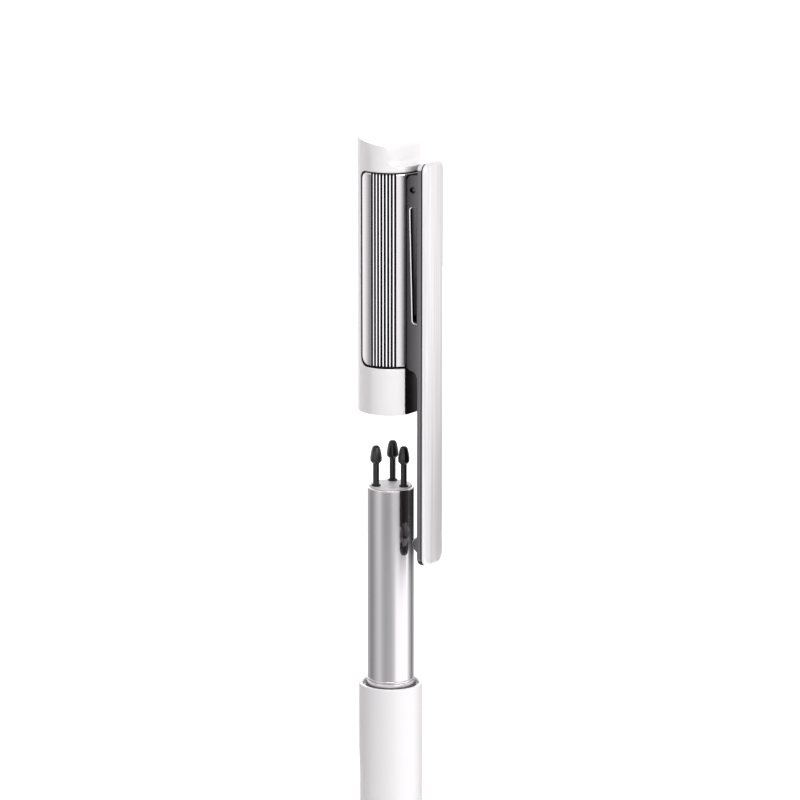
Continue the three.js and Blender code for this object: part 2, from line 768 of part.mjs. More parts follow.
// The pen's body, its storage tube and the nose, all on the axis.
function addBody(pen) {
  addPiece(pen, 'barrel', barrel(), whiteGloss());
  addPiece(pen, 'tube_socket', tubeSocket(), material(0xd8d6d8, 0.5, 0));
  addPiece(pen, 'storage_tube', storageTube(), polishedSteel());
  const collar = ring(tubeR + fitGap, collarR, socketFaceZ, socketFaceZ + collarHeight, roundRing);
  addPiece(pen, 'collar_ring', collar, polishedSteel());
  addPiece(pen, 'nib_holder', nibHolder(), material(0xc4c2c4, 0.5, 0));
  addPiece(pen, 'nose_cone', noseCone(), polishedSteel());
  const seal = ring(spigotR - sealDepth + fitGap / 2, boreR - fitGap / 2, sealZ, sealZ + sealSize, roundRing);
  addPiece(pen, 'nose_seal', seal, material(0x202020, 0.8, 0));
}

// Spare nibs on a circle, each in its grommet.
function addSpares(pen) {
  for (let i = 0; i < spareCount; i++) {
    const a = spareAngle(i);
    const spare = addPiece(pen, `spare_nib_${i + 1}`, nib(), blackNib());
    spare.position.set(spareCircleR * Math.cos(a), spareCircleR * Math.sin(a), tubeTopZ + spareReach);
    const sleeve = addPiece(pen, `nib_grommet_${i + 1}`, grommet(), material(0x151515, 0.8, 0));
    sleeve.position.set(spare.position.x, spare.position.y, tubeTopZ - holderDrop);
  }
}

// The writing nib, the aerial round it and the pressure sensor above it.
function addTip(pen) {
  const writing = addPiece(pen, 'writing_nib', nib(), blackNib());
  writing.rotation.x = Math.PI;
  writing.position.z = nibTipZ;
  addPiece(pen, 'nib_carrier', nibCarrier(), material(0xe6e2d6, 0.4, 0));
  const core = ring(ferriteBoreR, ferriteR, ferriteLowZ, ferriteTopZ, roundInner);
  addPiece(pen, 'ferrite_core', core, material(0x3a3838, 0.6, 0));
  const coil = ring(ferriteR + fitGap, ferriteR + coilThickness, coilLowZ, coilTopZ, roundInner);
  addPiece(pen, 'coil', coil, material(0xb4622d, 0.35, 1));
  addPiece(pen, 'coil_holder', coilHolder(), material(0x2d2d2f, 0.5, 0));
  addPiece(pen, 'sensor_housing', sensorHousing(), material(0x2d2d2f, 0.5, 0));
  const pad = disc(padR, padZ, padZ + padThickness, roundInner);
  addPiece(pen, 'pressure_pad', pad, material(0x222222, 0.85, 0));
  const sensor = disc(chamberR - fitGap, sensorZ, sensorZ + sensorThickness, roundInner);
  addPiece(pen, 'pressure_sensor', sensor, material(0xd9c9a3, 0.4, 0));
  addPiece(pen, 'sensor_lid', sensorLid(), material(0x2d2d2f, 0.5, 0));
}

// The electronics, turned so that the magnets lie under the barrel's flat.
function addElectronics(pen) {
  const turnedGroup = new THREE.Group();
  turnedGroup.rotation.z = flatAngle;
  pen.add(turnedGroup);
  addPiece(turnedGroup, 'sensor_flex', sensorFlex(), material(0xb87a3a, 0.5, 0));
  const chassis = new THREE.Group();
  chassis.position.z = trayZ;
  turnedGroup.add(chassis);
  addPiece(chassis, 'board_tray', boardTray(), material(0x35353a, 0.6, 0));
  const half = boardWidth / 2;
  const board = box(boardBackX, trayFaceX - fitGap, -half, half, boardStart, boardStart + boardLength);
  addPiece(chassis, 'circuit_board', board, material(0x1d5c3a, 0.5, 0));
  addPiece(chassis, 'controller_chip', onBoard([chipHeight, chipSize, chipSize], chipDistance),
    material(0x1a1a1a, 0.5, 0));
  for (let i = 0; i < capacitorCount; i++) {
    const capacitor = onBoard(capacitorSize, capacitorStart + i * capacitorPitch);
    addPiece(chassis, `tuning_capacitor_${i + 1}`, capacitor, material(0xa98a5c, 0.5, 0));
  }
  addPiece(chassis, 'trimmer', onBoard(trimmerSize, trimmerDistance), material(0xd8d0c0, 0.5, 0));
  magnetPlaces.forEach((low, i) => {
    addPiece(chassis, `magnet_${i + 1}`, magnet(low), material(0xa9a9ad, 0.3, 1));
  });
}

// The cap with its clip, in a group that stands on the cap's rim.
function addCap(pen) {
  const cap = new THREE.Group();
  cap.position.z = capZ;
  pen.add(cap);
  addPiece(cap, 'cap_shell', capShell(), whiteGloss());
  addPiece(cap, 'cap_core', capCore(), polishedSteel());
  addPiece(cap, 'grip_ring', gripRing(), material(0x2a2a2a, 0.8, 0));
  addPiece(cap, 'clip_pin', clipPin(), polishedSteel());
  addPiece(cap, 'clip_channel', clipChannel(), darkSteel());
  const plate = alongX(clipOutline(), clipInnerX + barThickness, clipInnerX + barThickness + plateThickness);
  addPiece(cap, 'clip_plate', plate, whiteGloss());
  addPiece(cap, 'clip_spring', clipSpring(), polishedSteel());
  addPiece(cap, 'spring_rivet', springRivet(), polishedSteel());
}

const pen = new THREE.Group();
pen.name = 'stylus_pen';
addBody(pen);
addSpares(pen);
addTip(pen);
addElectronics(pen);
addCap(pen);

export default pen;
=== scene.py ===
from math import acos, cos, pi, radians, sin, sqrt, tan

import bmesh
import bpy
from mathutils import Matrix, Vector


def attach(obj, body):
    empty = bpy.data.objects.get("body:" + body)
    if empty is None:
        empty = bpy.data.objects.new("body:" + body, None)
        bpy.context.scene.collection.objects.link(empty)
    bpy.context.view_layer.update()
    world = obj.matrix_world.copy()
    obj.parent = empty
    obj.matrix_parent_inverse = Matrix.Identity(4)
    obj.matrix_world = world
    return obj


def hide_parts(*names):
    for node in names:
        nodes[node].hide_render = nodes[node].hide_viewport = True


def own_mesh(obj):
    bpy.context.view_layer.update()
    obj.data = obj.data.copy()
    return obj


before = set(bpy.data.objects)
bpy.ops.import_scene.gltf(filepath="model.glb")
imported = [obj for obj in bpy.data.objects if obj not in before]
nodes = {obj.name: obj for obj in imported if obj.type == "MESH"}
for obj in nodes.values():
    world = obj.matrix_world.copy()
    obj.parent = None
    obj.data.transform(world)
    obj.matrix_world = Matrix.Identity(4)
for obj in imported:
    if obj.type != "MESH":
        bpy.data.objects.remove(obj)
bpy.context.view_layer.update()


# Barrel. A white ABS tube, injection moulded and polished, with a gloss lacquer.
# A shallow flat along one side lies over the magnets. Its rim is rounded by a hair.

def linear(code):
    """The linear colour of an sRGB hex code."""
    parts = [int(code[i:i + 2], 16) / 255 for i in (1, 3, 5)]
    return [c / 12.92 if c <= 0.04045 else ((c + 0.055) / 1.055) ** 2.4 for c in parts] + [1]


def add_node(tree, kind, settings=None, links=None):
    """Adds one shader node. Settings are inputs or attributes, and links feed its inputs."""
    node = tree.nodes.new("ShaderNode" + kind)
    for name, value in (settings or {}).items():
        if isinstance(name, int) or name in node.inputs:
            node.inputs[name].default_value = value
        else:
            setattr(node, name, value)
    for name, source in (links or {}).items():
        tree.links.new(source, node.inputs[name])
    return node


def new_material(name, color, roughness, metallic=0.0, **more):
    """Starts a material and gives it back with its node tree and its Principled shader."""
    material = bpy.data.materials.new(name)
    material.use_nodes = True
    tree = material.node_tree
    shader = tree.nodes["Principled BSDF"]
    shader.inputs["Base Color"].default_value = linear(color)
    shader.inputs["Roughness"].default_value = roughness
    shader.inputs["Metallic"].default_value = metallic
    for socket, value in more.items():
        shader.inputs[socket].default_value = value
    return material, tree, shader


def outline(points, rounding=()):
    """A flat face through points in X and Z, with some corners rounded: {corner: radius}."""
    shape = bmesh.new()
    corners = [shape.verts.new((x, 0, z)) for x, z in points]
    shape.faces.new(corners)
    for corner, radius in dict(rounding).items():
        bmesh.ops.bevel(shape, geom=[corners[corner]], offset=radius, offset_type="OFFSET",
                        affect="VERTICES", segments=8, profile=0.5, material=-1)
    return shape


def turned(points, rounding=(), steps=128):
    """Spins an outline of [radius, height] about the pen's axis."""
    shape = outline(points, rounding)
    bmesh.ops.delete(shape, geom=shape.faces[:], context="FACES_ONLY")
    on_axis = [e for e in shape.edges if all(abs(v.co.x) < 1e-6 for v in e.verts)]
    bmesh.ops.delete(shape, geom=on_axis, context="EDGES")
    bmesh.ops.spin(shape, geom=shape.verts[:] + shape.edges[:], cent=(0, 0, 0), axis=(0, 0, 1),
                   angle=2 * pi, steps=steps, use_merge=True)
    bmesh.ops.remove_doubles(shape, verts=shape.verts, dist=1e-5)
    bmesh.ops.recalc_face_normals(shape, faces=shape.faces)
    return shape


def ring(inner, outer, start, end, rounding=(), steps=128):
    """A turned ring between two heights, or a cylinder where its inner radius is 0."""
    return turned([(inner, start), (outer, start), (outer, end), (inner, end)], rounding, steps)


def moved(shape, x=0, y=0, z=0):
    """Moves a whole shape."""
    bmesh.ops.translate(shape, vec=(x, y, z), verts=shape.verts)


def rotated(shape, angle, axis):
    """Turns a whole shape about an axis through the origin."""
    bmesh.ops.rotate(shape, cent=(0, 0, 0), matrix=Matrix.Rotation(angle, 3, axis),
                     verts=shape.verts)


def split(shape, place, normal, dist=1e-5):
    """Cuts new edges into a shape where a plane crosses it."""
    bmesh.ops.bisect_plane(shape, geom=shape.verts[:] + shape.edges[:] + shape.faces[:],
                           plane_co=place, plane_no=normal, dist=dist)


def piece(name, shape, materials, body, stands_for=(), sharp=32):
    """Makes a named piece from a shape in millimetres and lets it ride on a body."""
    bmesh.ops.scale(shape, vec=(0.001,) * 3, verts=shape.verts)
    for face in shape.faces:
        face.smooth = True
    for edge in shape.edges:
        edge.smooth = edge.calc_face_angle(0) < radians(sharp)
    mesh = bpy.data.meshes.new(name)
    shape.to_mesh(mesh)
    shape.free()
    for material in materials:
        mesh.materials.append(material)
    made = bpy.data.objects.new(name, mesh)
    bpy.context.scene.collection.objects.link(made)
    # Long walls keep their own normals beside narrow bevels
    made.modifiers.new("weighted_normals", "WEIGHTED_NORMAL").keep_sharp = True
    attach(made, body)
    if stands_for:
        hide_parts(*stands_for)
    return made


# Gloss lacquer over moulded ABS: a clear, wet shine with the faintest orange peel.
def gloss_white(name, color):
    material, tree, shader = new_material(name, color, 0.24, IOR=1.5,
                                          **{"Coat Weight": 0.6, "Coat Roughness": 0.06})
    place = add_node(tree, "TexCoord").outputs["Object"]
    # Orange peel about 1.2 mm across
    peel = add_node(tree, "TexNoise", {"Scale": 800, "Detail": 1}, {"Vector": place})
    bump = add_node(tree, "Bump", {"Strength": 0.05, "Distance": 0.00002},
                    {"Height": peel.outputs["Fac"]})
    # Slow clouding of the colour, about 12 mm across
    cloud = add_node(tree, "TexNoise", {"Scale": 80, "Detail": 2}, {"Vector": place})
    tint = add_node(tree, "ValToRGB", {}, {"Fac": cloud.outputs["Fac"]})
    tint.color_ramp.elements[0].color = [c * 0.975 for c in linear(color)[:3]] + [1]
    tint.color_ramp.elements[1].color = linear(color)
    tree.links.new(tint.outputs["Color"], shader.inputs["Base Color"])
    tree.links.new(bump.outputs["Normal"], shader.inputs["Normal"])
    return material


barrel_r, barrel_wall, barrel_low, shoulder = 4.7, 0.65, -14, 83
barrel_white = gloss_white("gloss_lacquered_abs_barrel", "#f7f4f6")
barrel = ring(barrel_r - barrel_wall, barrel_r, barrel_low, shoulder,
              {1: 0.06, 2: 0.16, 3: 0.32}, 192)

flat_depth, flat_high, flat_low, flat_turn = 0.28, 73.6, 1.6, radians(222)
run_out, run_steps = 5, 20
edge_y = sqrt(barrel_r ** 2 - (barrel_r - flat_depth) ** 2)
rotated(barrel, -flat_turn, "Z")
rises = [run_out * i / run_steps for i in range(run_steps + 1)]
for z in [flat_low + rise for rise in rises] + [flat_high - rise for rise in rises]:
    split(barrel, (0, 0, z), (0, 0, 1))
for y in (-edge_y, edge_y):
    split(barrel, (0, y, 0), (0, 1, 0))
for v in barrel.verts:
    into = min((v.co.z - flat_low) / run_out, (flat_high - v.co.z) / run_out, 1)
    if into > 0:
        v.co.x = min(v.co.x, barrel_r - flat_depth * into)
rotated(barrel, flat_turn, "Z")
piece("barrel_tube", barrel, [barrel_white], "root", ["barrel"], sharp=20)


# Tube socket. A plug of white polycarbonate glued in the barrel's end, moulded with a fine
# spark-eroded grain. The storage tube is pressed into it.

# Moulded plastic: a low sheen with a fine grain, given in millimetres like its depth.
def grained_plastic(name, color, roughness=0.5, grain=0.15, depth=0.01, shine=0.5):
    material, tree, shader = new_material(name, color, roughness, IOR=1.5,
                                          **{"Specular IOR Level": shine})
    place = add_node(tree, "TexCoord").outputs["Object"]
    pits = add_node(tree, "TexNoise", {"Scale": 1000 / grain, "Detail": 3, "Roughness": 0.6},
                    {"Vector": place})
    bump = add_node(tree, "Bump", {"Strength": 0.35, "Distance": depth / 1000},
                    {"Height": pits.outputs["Fac"]})
    sheen = add_node(tree, "MapRange", {"To Min": roughness - 0.07, "To Max": roughness + 0.07},
                     {"Value": pits.outputs["Fac"]})
    tree.links.new(bump.outputs["Normal"], shader.inputs["Normal"])
    tree.links.new(sheen.outputs["Result"], shader.inputs["Roughness"])
    return material


def dress(material, *names):
    """Gives CAD nodes that keep their shape a better material."""
    for name in names:
        nodes[name].data.materials.clear()
        nodes[name].data.materials.append(material)


socket_white = grained_plastic("moulded_polycarbonate_socket", "#e4e1e3", 0.45)
dress(socket_white, "tube_socket")
flange_bore, flange_r, flange_low, flange_top = 3.62, 4.02, 81.6, 82.55
flange = ring(flange_bore, flange_r, flange_low, flange_top, {2: 0.08, 3: 0.08})
piece("tube_socket_flange", flange, [socket_white], "root")


# Storage tube and collar. Stainless tube, drawn and then polished along its length, with a
# rolled rim. The turned collar round its foot has a fine groove between two beads.

# Polished steel: a sharp reflection, drawn out a little by fine lines along the part.
def polished_steel(name, color, roughness):
    material, tree, shader = new_material(name, color, roughness, 1.0)
    place = add_node(tree, "TexCoord").outputs["Object"]
    # Lines 0.12 mm apart and 0.0012 mm deep
    stretch = add_node(tree, "Mapping", {"Scale": (1, 1, 0.012)}, {"Vector": place})
    draw = add_node(tree, "TexNoise", {"Scale": 1000 / 0.12, "Detail": 2},
                    {"Vector": stretch.outputs["Vector"]})
    bump = add_node(tree, "Bump", {"Strength": 0.3, "Distance": 0.0012 / 1000},
                    {"Height": draw.outputs["Fac"]})
    # Cleaner and duller stretches about 8 mm long
    wear = add_node(tree, "TexNoise", {"Scale": 120, "Detail": 3}, {"Vector": place})
    dull = add_node(tree, "MapRange", {"To Min": roughness * 0.75, "To Max": roughness * 1.35},
                    {"Value": wear.outputs["Fac"]})
    tree.links.new(bump.outputs["Normal"], shader.inputs["Normal"])
    tree.links.new(dull.outputs["Result"], shader.inputs["Roughness"])
    return material


tube_steel = polished_steel("drawn_stainless_tube", "#dad6d9", 0.11)
tube_r, tube_wall, tube_foot, tube_top = 3.425, 0.3, 71.5, 112.9
tube = ring(tube_r - tube_wall, tube_r, tube_foot, tube_top, {1: 0.1, 2: 0.17, 3: 0.12}, 160)
piece("storage_tube_drawn", tube, [tube_steel], "root", ["storage_tube"])

collar_steel = polished_steel("turned_steel_collar", "#dad6d9", 0.1)
collar_bore, collar_r, collar_low, collar_top = tube_r + 0.02, 3.55, 81.5, 83.85
groove_at, groove_bottom_r = 83.45, collar_r - 0.06
collar = turned([(collar_bore, collar_low), (collar_r, collar_low), (collar_r, groove_at - 0.1),
                 (groove_bottom_r, groove_at - 0.03), (groove_bottom_r, groove_at + 0.03),
                 (collar_r, groove_at + 0.1), (collar_r, collar_top), (collar_bore, collar_top)],
                {2: 0.05, 5: 0.05, 6: 0.09})
piece("tube_collar", collar, [collar_steel], "root", ["collar_ring"])

# A dark grey ring in the gap between the collar and the barrel's mouth: painted shade in that
# gap.
mouth_gap_shade_grey = grained_plastic("mouth_gap_painted_shade", "#5a5859", 0.6, 0.1, 0.02)
mouth_r, mouth_low, mouth_high = 3.73, 82.5, 82.95
mouth_gap_shade = ring(collar_r + 0.02, mouth_r, mouth_low, mouth_high,
                  {0: 0.04, 1: 0.05, 2: 0.05, 3: 0.04})
piece("mouth_gap_shade_ring", mouth_gap_shade, [mouth_gap_shade_grey], "root")


# Nib holder with its grommets. A light grey moulded plug in the tube's mouth, bored three
# times. A soft black grommet in each bore grips a nib's stem and stands a little proud.
holder_grey = grained_plastic("moulded_grey_holder", "#ebe8ea", 0.42, 0.2)
holder_face, holder_length, holder_r = 113.1, 12.9, 3.07
circle_r, first_angle, stem_r = 2.35, radians(-1.5), 0.45
angles = [first_angle + i * 2 * pi / 3 for i in range(3)]
places = [(circle_r * cos(angle), circle_r * sin(angle)) for angle in angles]


def solid_of(shape):
    """A hidden object that holds a shape for cutting."""
    mesh = bpy.data.meshes.new("cutting")
    shape.to_mesh(mesh)
    shape.free()
    made = bpy.data.objects.new("cutting", mesh)
    bpy.context.scene.collection.objects.link(made)
    return made


def carved(shape, *cuts):
    """A closed shape with others cut out of it, joined to it or kept from it: (how, shape)."""
    base = solid_of(shape)
    tools = []
    for how, other in cuts:
        tools.append(solid_of(other))
        cut = base.modifiers.new("cut", "BOOLEAN")
        cut.operation = how
        cut.solver = "EXACT"
        cut.object = tools[-1]
    seen = base.evaluated_get(bpy.context.evaluated_depsgraph_get())
    result = bmesh.new()
    result.from_mesh(seen.to_mesh())
    seen.to_mesh_clear()
    for made in [base] + tools:
        bpy.data.meshes.remove(made.data)
    bmesh.ops.remove_doubles(result, verts=result.verts, dist=1e-4)
    return result


holder_low = holder_face - holder_length
hollow_r, hollow_floor_r, hollow_floor = 0.5, 0.42, holder_face - 0.1
holder = turned([(0, holder_low), (holder_r, holder_low), (holder_r, holder_face),
                 (hollow_r, holder_face), (hollow_floor_r, hollow_floor), (0, hollow_floor)],
                {2: 0.09})
stem_hole_r, stem_hole_length = stem_r + 0.2, 14
bores = []
for x, y in places:
    bore = ring(0, stem_hole_r, 0, stem_hole_length, {}, 40)
    moved(bore, x, y, holder_low - 1)
    bores.append(("DIFFERENCE", bore))
holder = carved(holder, *bores)
piece("nib_holder_plug", holder, [holder_grey], "root", ["nib_holder"])

grommet_rubber = grained_plastic("moulded_black_rubber_grommets", "#101010", 0.62, 0.1, 0.02)
sleeve_foot, lip_low, lip_top, lip_r = -2.6, 0.02, 0.2, 0.68
grommet_bore = stem_r + 0.02
grommet_wall = grommet_bore + 0.15
for i, (x, y) in enumerate(places):
    grommet = turned([(grommet_bore, sleeve_foot), (grommet_wall, sleeve_foot),
                      (grommet_wall, lip_low), (lip_r, lip_low), (lip_r, lip_top),
                      (grommet_bore, 0.24)], {4: 0.09, 5: 0.03}, 48)
    moved(grommet, x, y, holder_face)
    piece(f"nib_grommet_ring_{i + 1}", grommet, [grommet_rubber], "root",
          [f"nib_grommet_{i + 1}"])


# Spare nibs. Black acetal, moulded in one piece: a slim stem under a swollen head with long
# flats, which give it its grip when it is pulled out.
nib_black = grained_plastic("moulded_black_acetal_nibs", "#070708", 0.3, 0.12, 0.002)
nib_length, head_r, crown_r, neck = 17, 0.87, 0.53, -2.72


def nib():
    """A nib with its tip at height 0 and its stem below."""
    shape = turned([(0, 0), (0.3, -0.02), (crown_r, -0.2), (0.65, -0.55), (0.77, -1.1),
                    (head_r, -1.8), (head_r * 0.97, -2.35), (0.62, -2.62), (stem_r, neck),
                    (0, neck)], {2: 0.12, 6: 0.12}, 8)
    # The eight flats meet in rounded edges
    edges = [e for e in shape.edges if abs((e.verts[0].co - e.verts[1].co).z) > 0.03
             and max(v.co.x ** 2 + v.co.y ** 2 for v in e.verts) > 0.3 ** 2]
    bmesh.ops.bevel(shape, geom=edges, offset=0.035, affect="EDGES", segments=2, profile=0.5,
                    material=-1, clamp_overlap=True)
    bmesh.ops.dissolve_degenerate(shape, dist=3e-4, edges=shape.edges)
    stem = ring(0, stem_r, neck + 0.02, -nib_length, {2: 0.1}, 40)
    both = bpy.data.meshes.new("stem")
    stem.to_mesh(both)
    stem.free()
    shape.from_mesh(both)
    bpy.data.meshes.remove(both)
    return shape


spare_tip = 119.2
for i, (x, y) in enumerate(places):
    spare = nib()
    # Each one is turned a little more, as they fall when they are pushed in
    rotated(spare, i * 0.7, "Z")
    moved(spare, x, y, spare_tip)
    piece(f"spare_nib_moulding_{i + 1}", spare, [nib_black], f"spare_nib_{i + 1}",
          [f"spare_nib_{i + 1}"], sharp=25)


# Nose cone and its seal. Stainless steel turned on a lathe and satin polished. It plugs into
# the barrel on a spigot with a rubber ring.

# Turned steel: rings about 0.2 mm apart, left by the tool and softened by polishing.
nose_steel, tree, shader = new_material("turned_satin_steel_nose", "#b3b1b2", 0.32, 1.0)
place = add_node(tree, "TexCoord").outputs["Object"]
squeeze = add_node(tree, "Mapping", {"Scale": (0.02, 0.02, 1)}, {"Vector": place})
rings = add_node(tree, "TexNoise", {"Scale": 5000, "Detail": 2},
                 {"Vector": squeeze.outputs["Vector"]})
bump = add_node(tree, "Bump", {"Strength": 0.4, "Distance": 0.000002},
                {"Height": rings.outputs["Fac"]})
tree.links.new(bump.outputs["Normal"], shader.inputs["Normal"])

nose_length, nose_tip_r, nose_tip, fullness, hole_r = 18, 1.45, -32, 1.7, 0.95
nose_wall, tip_wall, spigot_r, spigot_bore, spigot_top = 0.6, 1.1, 4.0, 3.4, -8
curve = []
for i in range(25):
    share = i / 24
    curve.append((nose_tip_r + (barrel_r - nose_tip_r) * (1 - (1 - share) ** fullness),
                  nose_tip + nose_length * share))
inside = [(min(r - nose_wall, spigot_bore), z) for r, z in reversed(curve)
          if z > nose_tip + tip_wall and r - nose_wall > hole_r + 0.05]
spigot = [(spigot_r, barrel_low), (spigot_r, spigot_top), (spigot_bore, spigot_top)]
nose = turned([(hole_r, nose_tip)] + curve + spigot + inside + [(hole_r, nose_tip + tip_wall)],
              {0: 0.1, 1: 0.12, 25: 0.08})
piece("nose_cone_turned", nose, [nose_steel], "root", ["nose_cone"])
seal_rubber = grained_plastic("moulded_nitrile_seal", "#141414", 0.7, 0.1, 0.02)
dress(seal_rubber, "nose_seal")


# Writing nib and its carrier. The same nib as the spares, held by its stem in a rod of
# ivory acetal that passes its pressure up to the sensor.
writing_tip = -35
writing = nib()
rotated(writing, pi, "X")
moved(writing, z=writing_tip)
piece("writing_nib_moulding", writing, [nib_black], "writing_nib",
      ["writing_nib"], sharp=25)
carrier_ivory = grained_plastic("moulded_ivory_acetal_carrier", "#e6e2d6", 0.4)
dress(carrier_ivory, "nib_carrier")


# Aerial. A pressed ferrite tube with a coil of enamelled copper wire, centred by a moulded
# holder that guides the carrier.
ferrite = grained_plastic("sintered_ferrite", "#3b3937", 0.6, 0.06, 0.02)
dress(ferrite, "ferrite_core")

# Enamelled copper wire 0.1 mm thick, wound close: a ring of shine on each turn.
copper, tree, shader = new_material("enamelled_copper_winding", "#b5652f", 0.3, 1.0)
place = add_node(tree, "TexCoord").outputs["Object"]
turns = add_node(tree, "TexWave", {"wave_type": "BANDS", "bands_direction": "Z",
                                   "Scale": 2 * pi * 500}, {"Vector": place})
bump = add_node(tree, "Bump", {"Strength": 0.8, "Distance": 0.00004},
                {"Height": turns.outputs["Fac"]})
tree.links.new(bump.outputs["Normal"], shader.inputs["Normal"])
dress(copper, "coil")
black_moulding = grained_plastic("moulded_black_nylon", "#2b2b2d", 0.5)
dress(black_moulding, "coil_holder")


# Pressure sensor. A moulded housing with a rubber pad, a ceramic sensor and a snap-in lid.
# A polyimide flex with copper tracks carries its signal to the board.
dress(black_moulding, "sensor_housing", "sensor_lid")
pad_r, pad_low_end, pad_high_end, pressed_in = 1.9, -6.5, -5.1, 0.4
pad_disc = ring(0, pad_r, pad_low_end, pad_high_end, {1: 0.15, 2: 0.15}, 64)
pad_disc = piece("pressure_pad_disc", pad_disc, [seal_rubber], "root",
                 ["pressure_pad"])
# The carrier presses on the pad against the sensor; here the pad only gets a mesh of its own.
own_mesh(pad_disc)
sensor_ceramic = grained_plastic("fired_alumina_sensor", "#dccfab", 0.5, 0.08, 0.01)
dress(sensor_ceramic, "pressure_sensor")

# Polyimide film over copper: amber, with brighter tracks 0.3 mm wide.
flex_amber, tree, shader = new_material("polyimide_flex", "#b5783a", 0.35, IOR=1.7)
place = add_node(tree, "TexCoord").outputs["Object"]
tracks = add_node(tree, "TexWave", {"wave_type": "BANDS", "bands_direction": "DIAGONAL",
                                    "Scale": 2 * pi * 90}, {"Vector": place})
track_color = add_node(tree, "ValToRGB", {}, {"Fac": tracks.outputs["Fac"]})
track_color.color_ramp.elements[0].color = linear("#9c5f28")
track_color.color_ramp.elements[1].color = linear("#cf9350")
tree.links.new(track_color.outputs["Color"], shader.inputs["Base Color"])
dress(flex_amber, "sensor_flex")


# Electronics. A green board with its chip, tuning capacitors and trimmer on a black moulded
# tray, and two nickel-plated magnets under the barrel's flat.
dress(black_moulding, "board_tray")

# Solder mask over copper: glossy green with lighter tracks about 0.7 mm apart.
mask_green, tree, shader = new_material("solder_masked_board", "#1d5c3a", 0.3, IOR=1.5)
place = add_node(tree, "TexCoord").outputs["Object"]
cells = add_node(tree, "TexVoronoi", {"Scale": 1400, "distance": "CHEBYCHEV",
                                      "feature": "DISTANCE_TO_EDGE"}, {"Vector": place})
mask_color = add_node(tree, "ValToRGB", {}, {"Fac": cells.outputs["Distance"]})
mask_color.color_ramp.elements[0].position = 0.06
mask_color.color_ramp.elements[1].position = 0.1
mask_color.color_ramp.elements[0].color = linear("#2f7d51")
mask_color.color_ramp.elements[1].color = linear("#174a2f")
tree.links.new(mask_color.outputs["Color"], shader.inputs["Base Color"])
dress(mask_green, "circuit_board")
chip_epoxy = grained_plastic("moulded_epoxy_chip", "#1a1a1b", 0.55, 0.08, 0.01)
dress(chip_epoxy, "controller_chip")
fired_ceramic = grained_plastic("fired_capacitor_ceramic", "#a98a5c", 0.55, 0.1, 0.01)
dress(fired_ceramic, *[f"tuning_capacitor_{i}" for i in (1, 2, 3, 4)])
trimmer_white = grained_plastic("moulded_trimmer_body", "#d8d0c0", 0.5)
dress(trimmer_white, "trimmer")
magnet_nickel = polished_steel("nickel_plated_magnet", "#b9b8bd", 0.22)
dress(magnet_nickel, "magnet_1", "magnet_2")


# Cap shell. White ABS, moulded and lacquered like the barrel, with a slanted, notched top.
# A window shows the steel core, and a slot in the rim under the clip lets its tongue through.

def panel(half, low, high, rounding=()):
    """A flat rectangle in X and Z. Its corners count from the lower left, anticlockwise."""
    return outline([(-half, low), (half, low), (half, high), (-half, high)], rounding)


def verts_in(result):
    """The vertices among what an operator made."""
    return [g for g in result["geom"] if isinstance(g, bmesh.types.BMVert)]


def pushed(shape, depth):
    """Extrudes the faces of a flat shape along Y."""
    copy = bmesh.ops.extrude_face_region(shape, geom=shape.faces[:])
    bmesh.ops.translate(shape, vec=(0, depth, 0), verts=verts_in(copy))
    shape.normal_update()
    bmesh.ops.recalc_face_normals(shape, faces=shape.faces)
    return shape


def wrapped(shape, radius, step=0.12):
    """Bends a shape round the axis. X runs round it at the radius, and Y outwards from it."""
    low = min(v.co.x for v in shape.verts)
    high = max(v.co.x for v in shape.verts)
    count = int((high - low) / step)
    for i in range(1, count):
        split(shape, (low + (high - low) * i / count, 0, 0), (1, 0, 0), 1e-4)
    for v in shape.verts:
        turn = v.co.x / radius
        reach = radius + v.co.y
        v.co.x, v.co.y = reach * cos(turn), reach * sin(turn)
    shape.normal_update()
    bmesh.ops.recalc_face_normals(shape, faces=shape.faces)
    return shape


def eased(shape, edges, offset, segments, **more):
    """Rounds edges of a shape, or cuts a chamfer where there is one segment."""
    bmesh.ops.bevel(shape, geom=edges, offset=offset, affect="EDGES", segments=segments,
                    profile=0.5, **{"material": -1, **more})


def wall_edges(shape, low, high):
    """The sharp edges on the cap's outside between two heights."""
    return [e for e in shape.edges if e.calc_face_angle(0) > 0.9
            and all(abs(sqrt(v.co.x ** 2 + v.co.y ** 2) - cap_r) < 0.01 for v in e.verts)
            and all(low < v.co.z < high for v in e.verts)]


cap_low, cap_r, cap_wall, ceiling = 124.5, 4.8, 0.7, 36.3
notch_x, notch_floor, peak, slope = 2.35, 36.6, 4, tan(radians(9))
edge_z = notch_floor + peak - (notch_x + cap_r) * slope
cap_white = gloss_white("gloss_lacquered_abs_cap", "#f7f4f6")

cap_top = notch_floor + peak + 2
blank = ring(0, cap_r, 0, cap_top, {}, 256)
beside = 7
side = outline([(-beside, -1), (beside, -1), (beside, notch_floor), (notch_x, notch_floor),
                (notch_x, edge_z), (-beside, edge_z + (notch_x + beside) * slope)],
               {3: 1.0, 4: 0.7})
pushed(side, 2 * beside)
moved(side, y=-beside)
# Where the bore has as many facets as the blank, the cuts leave holes in it
bore = ring(0, cap_r - cap_wall, -1, ceiling, {}, 200)

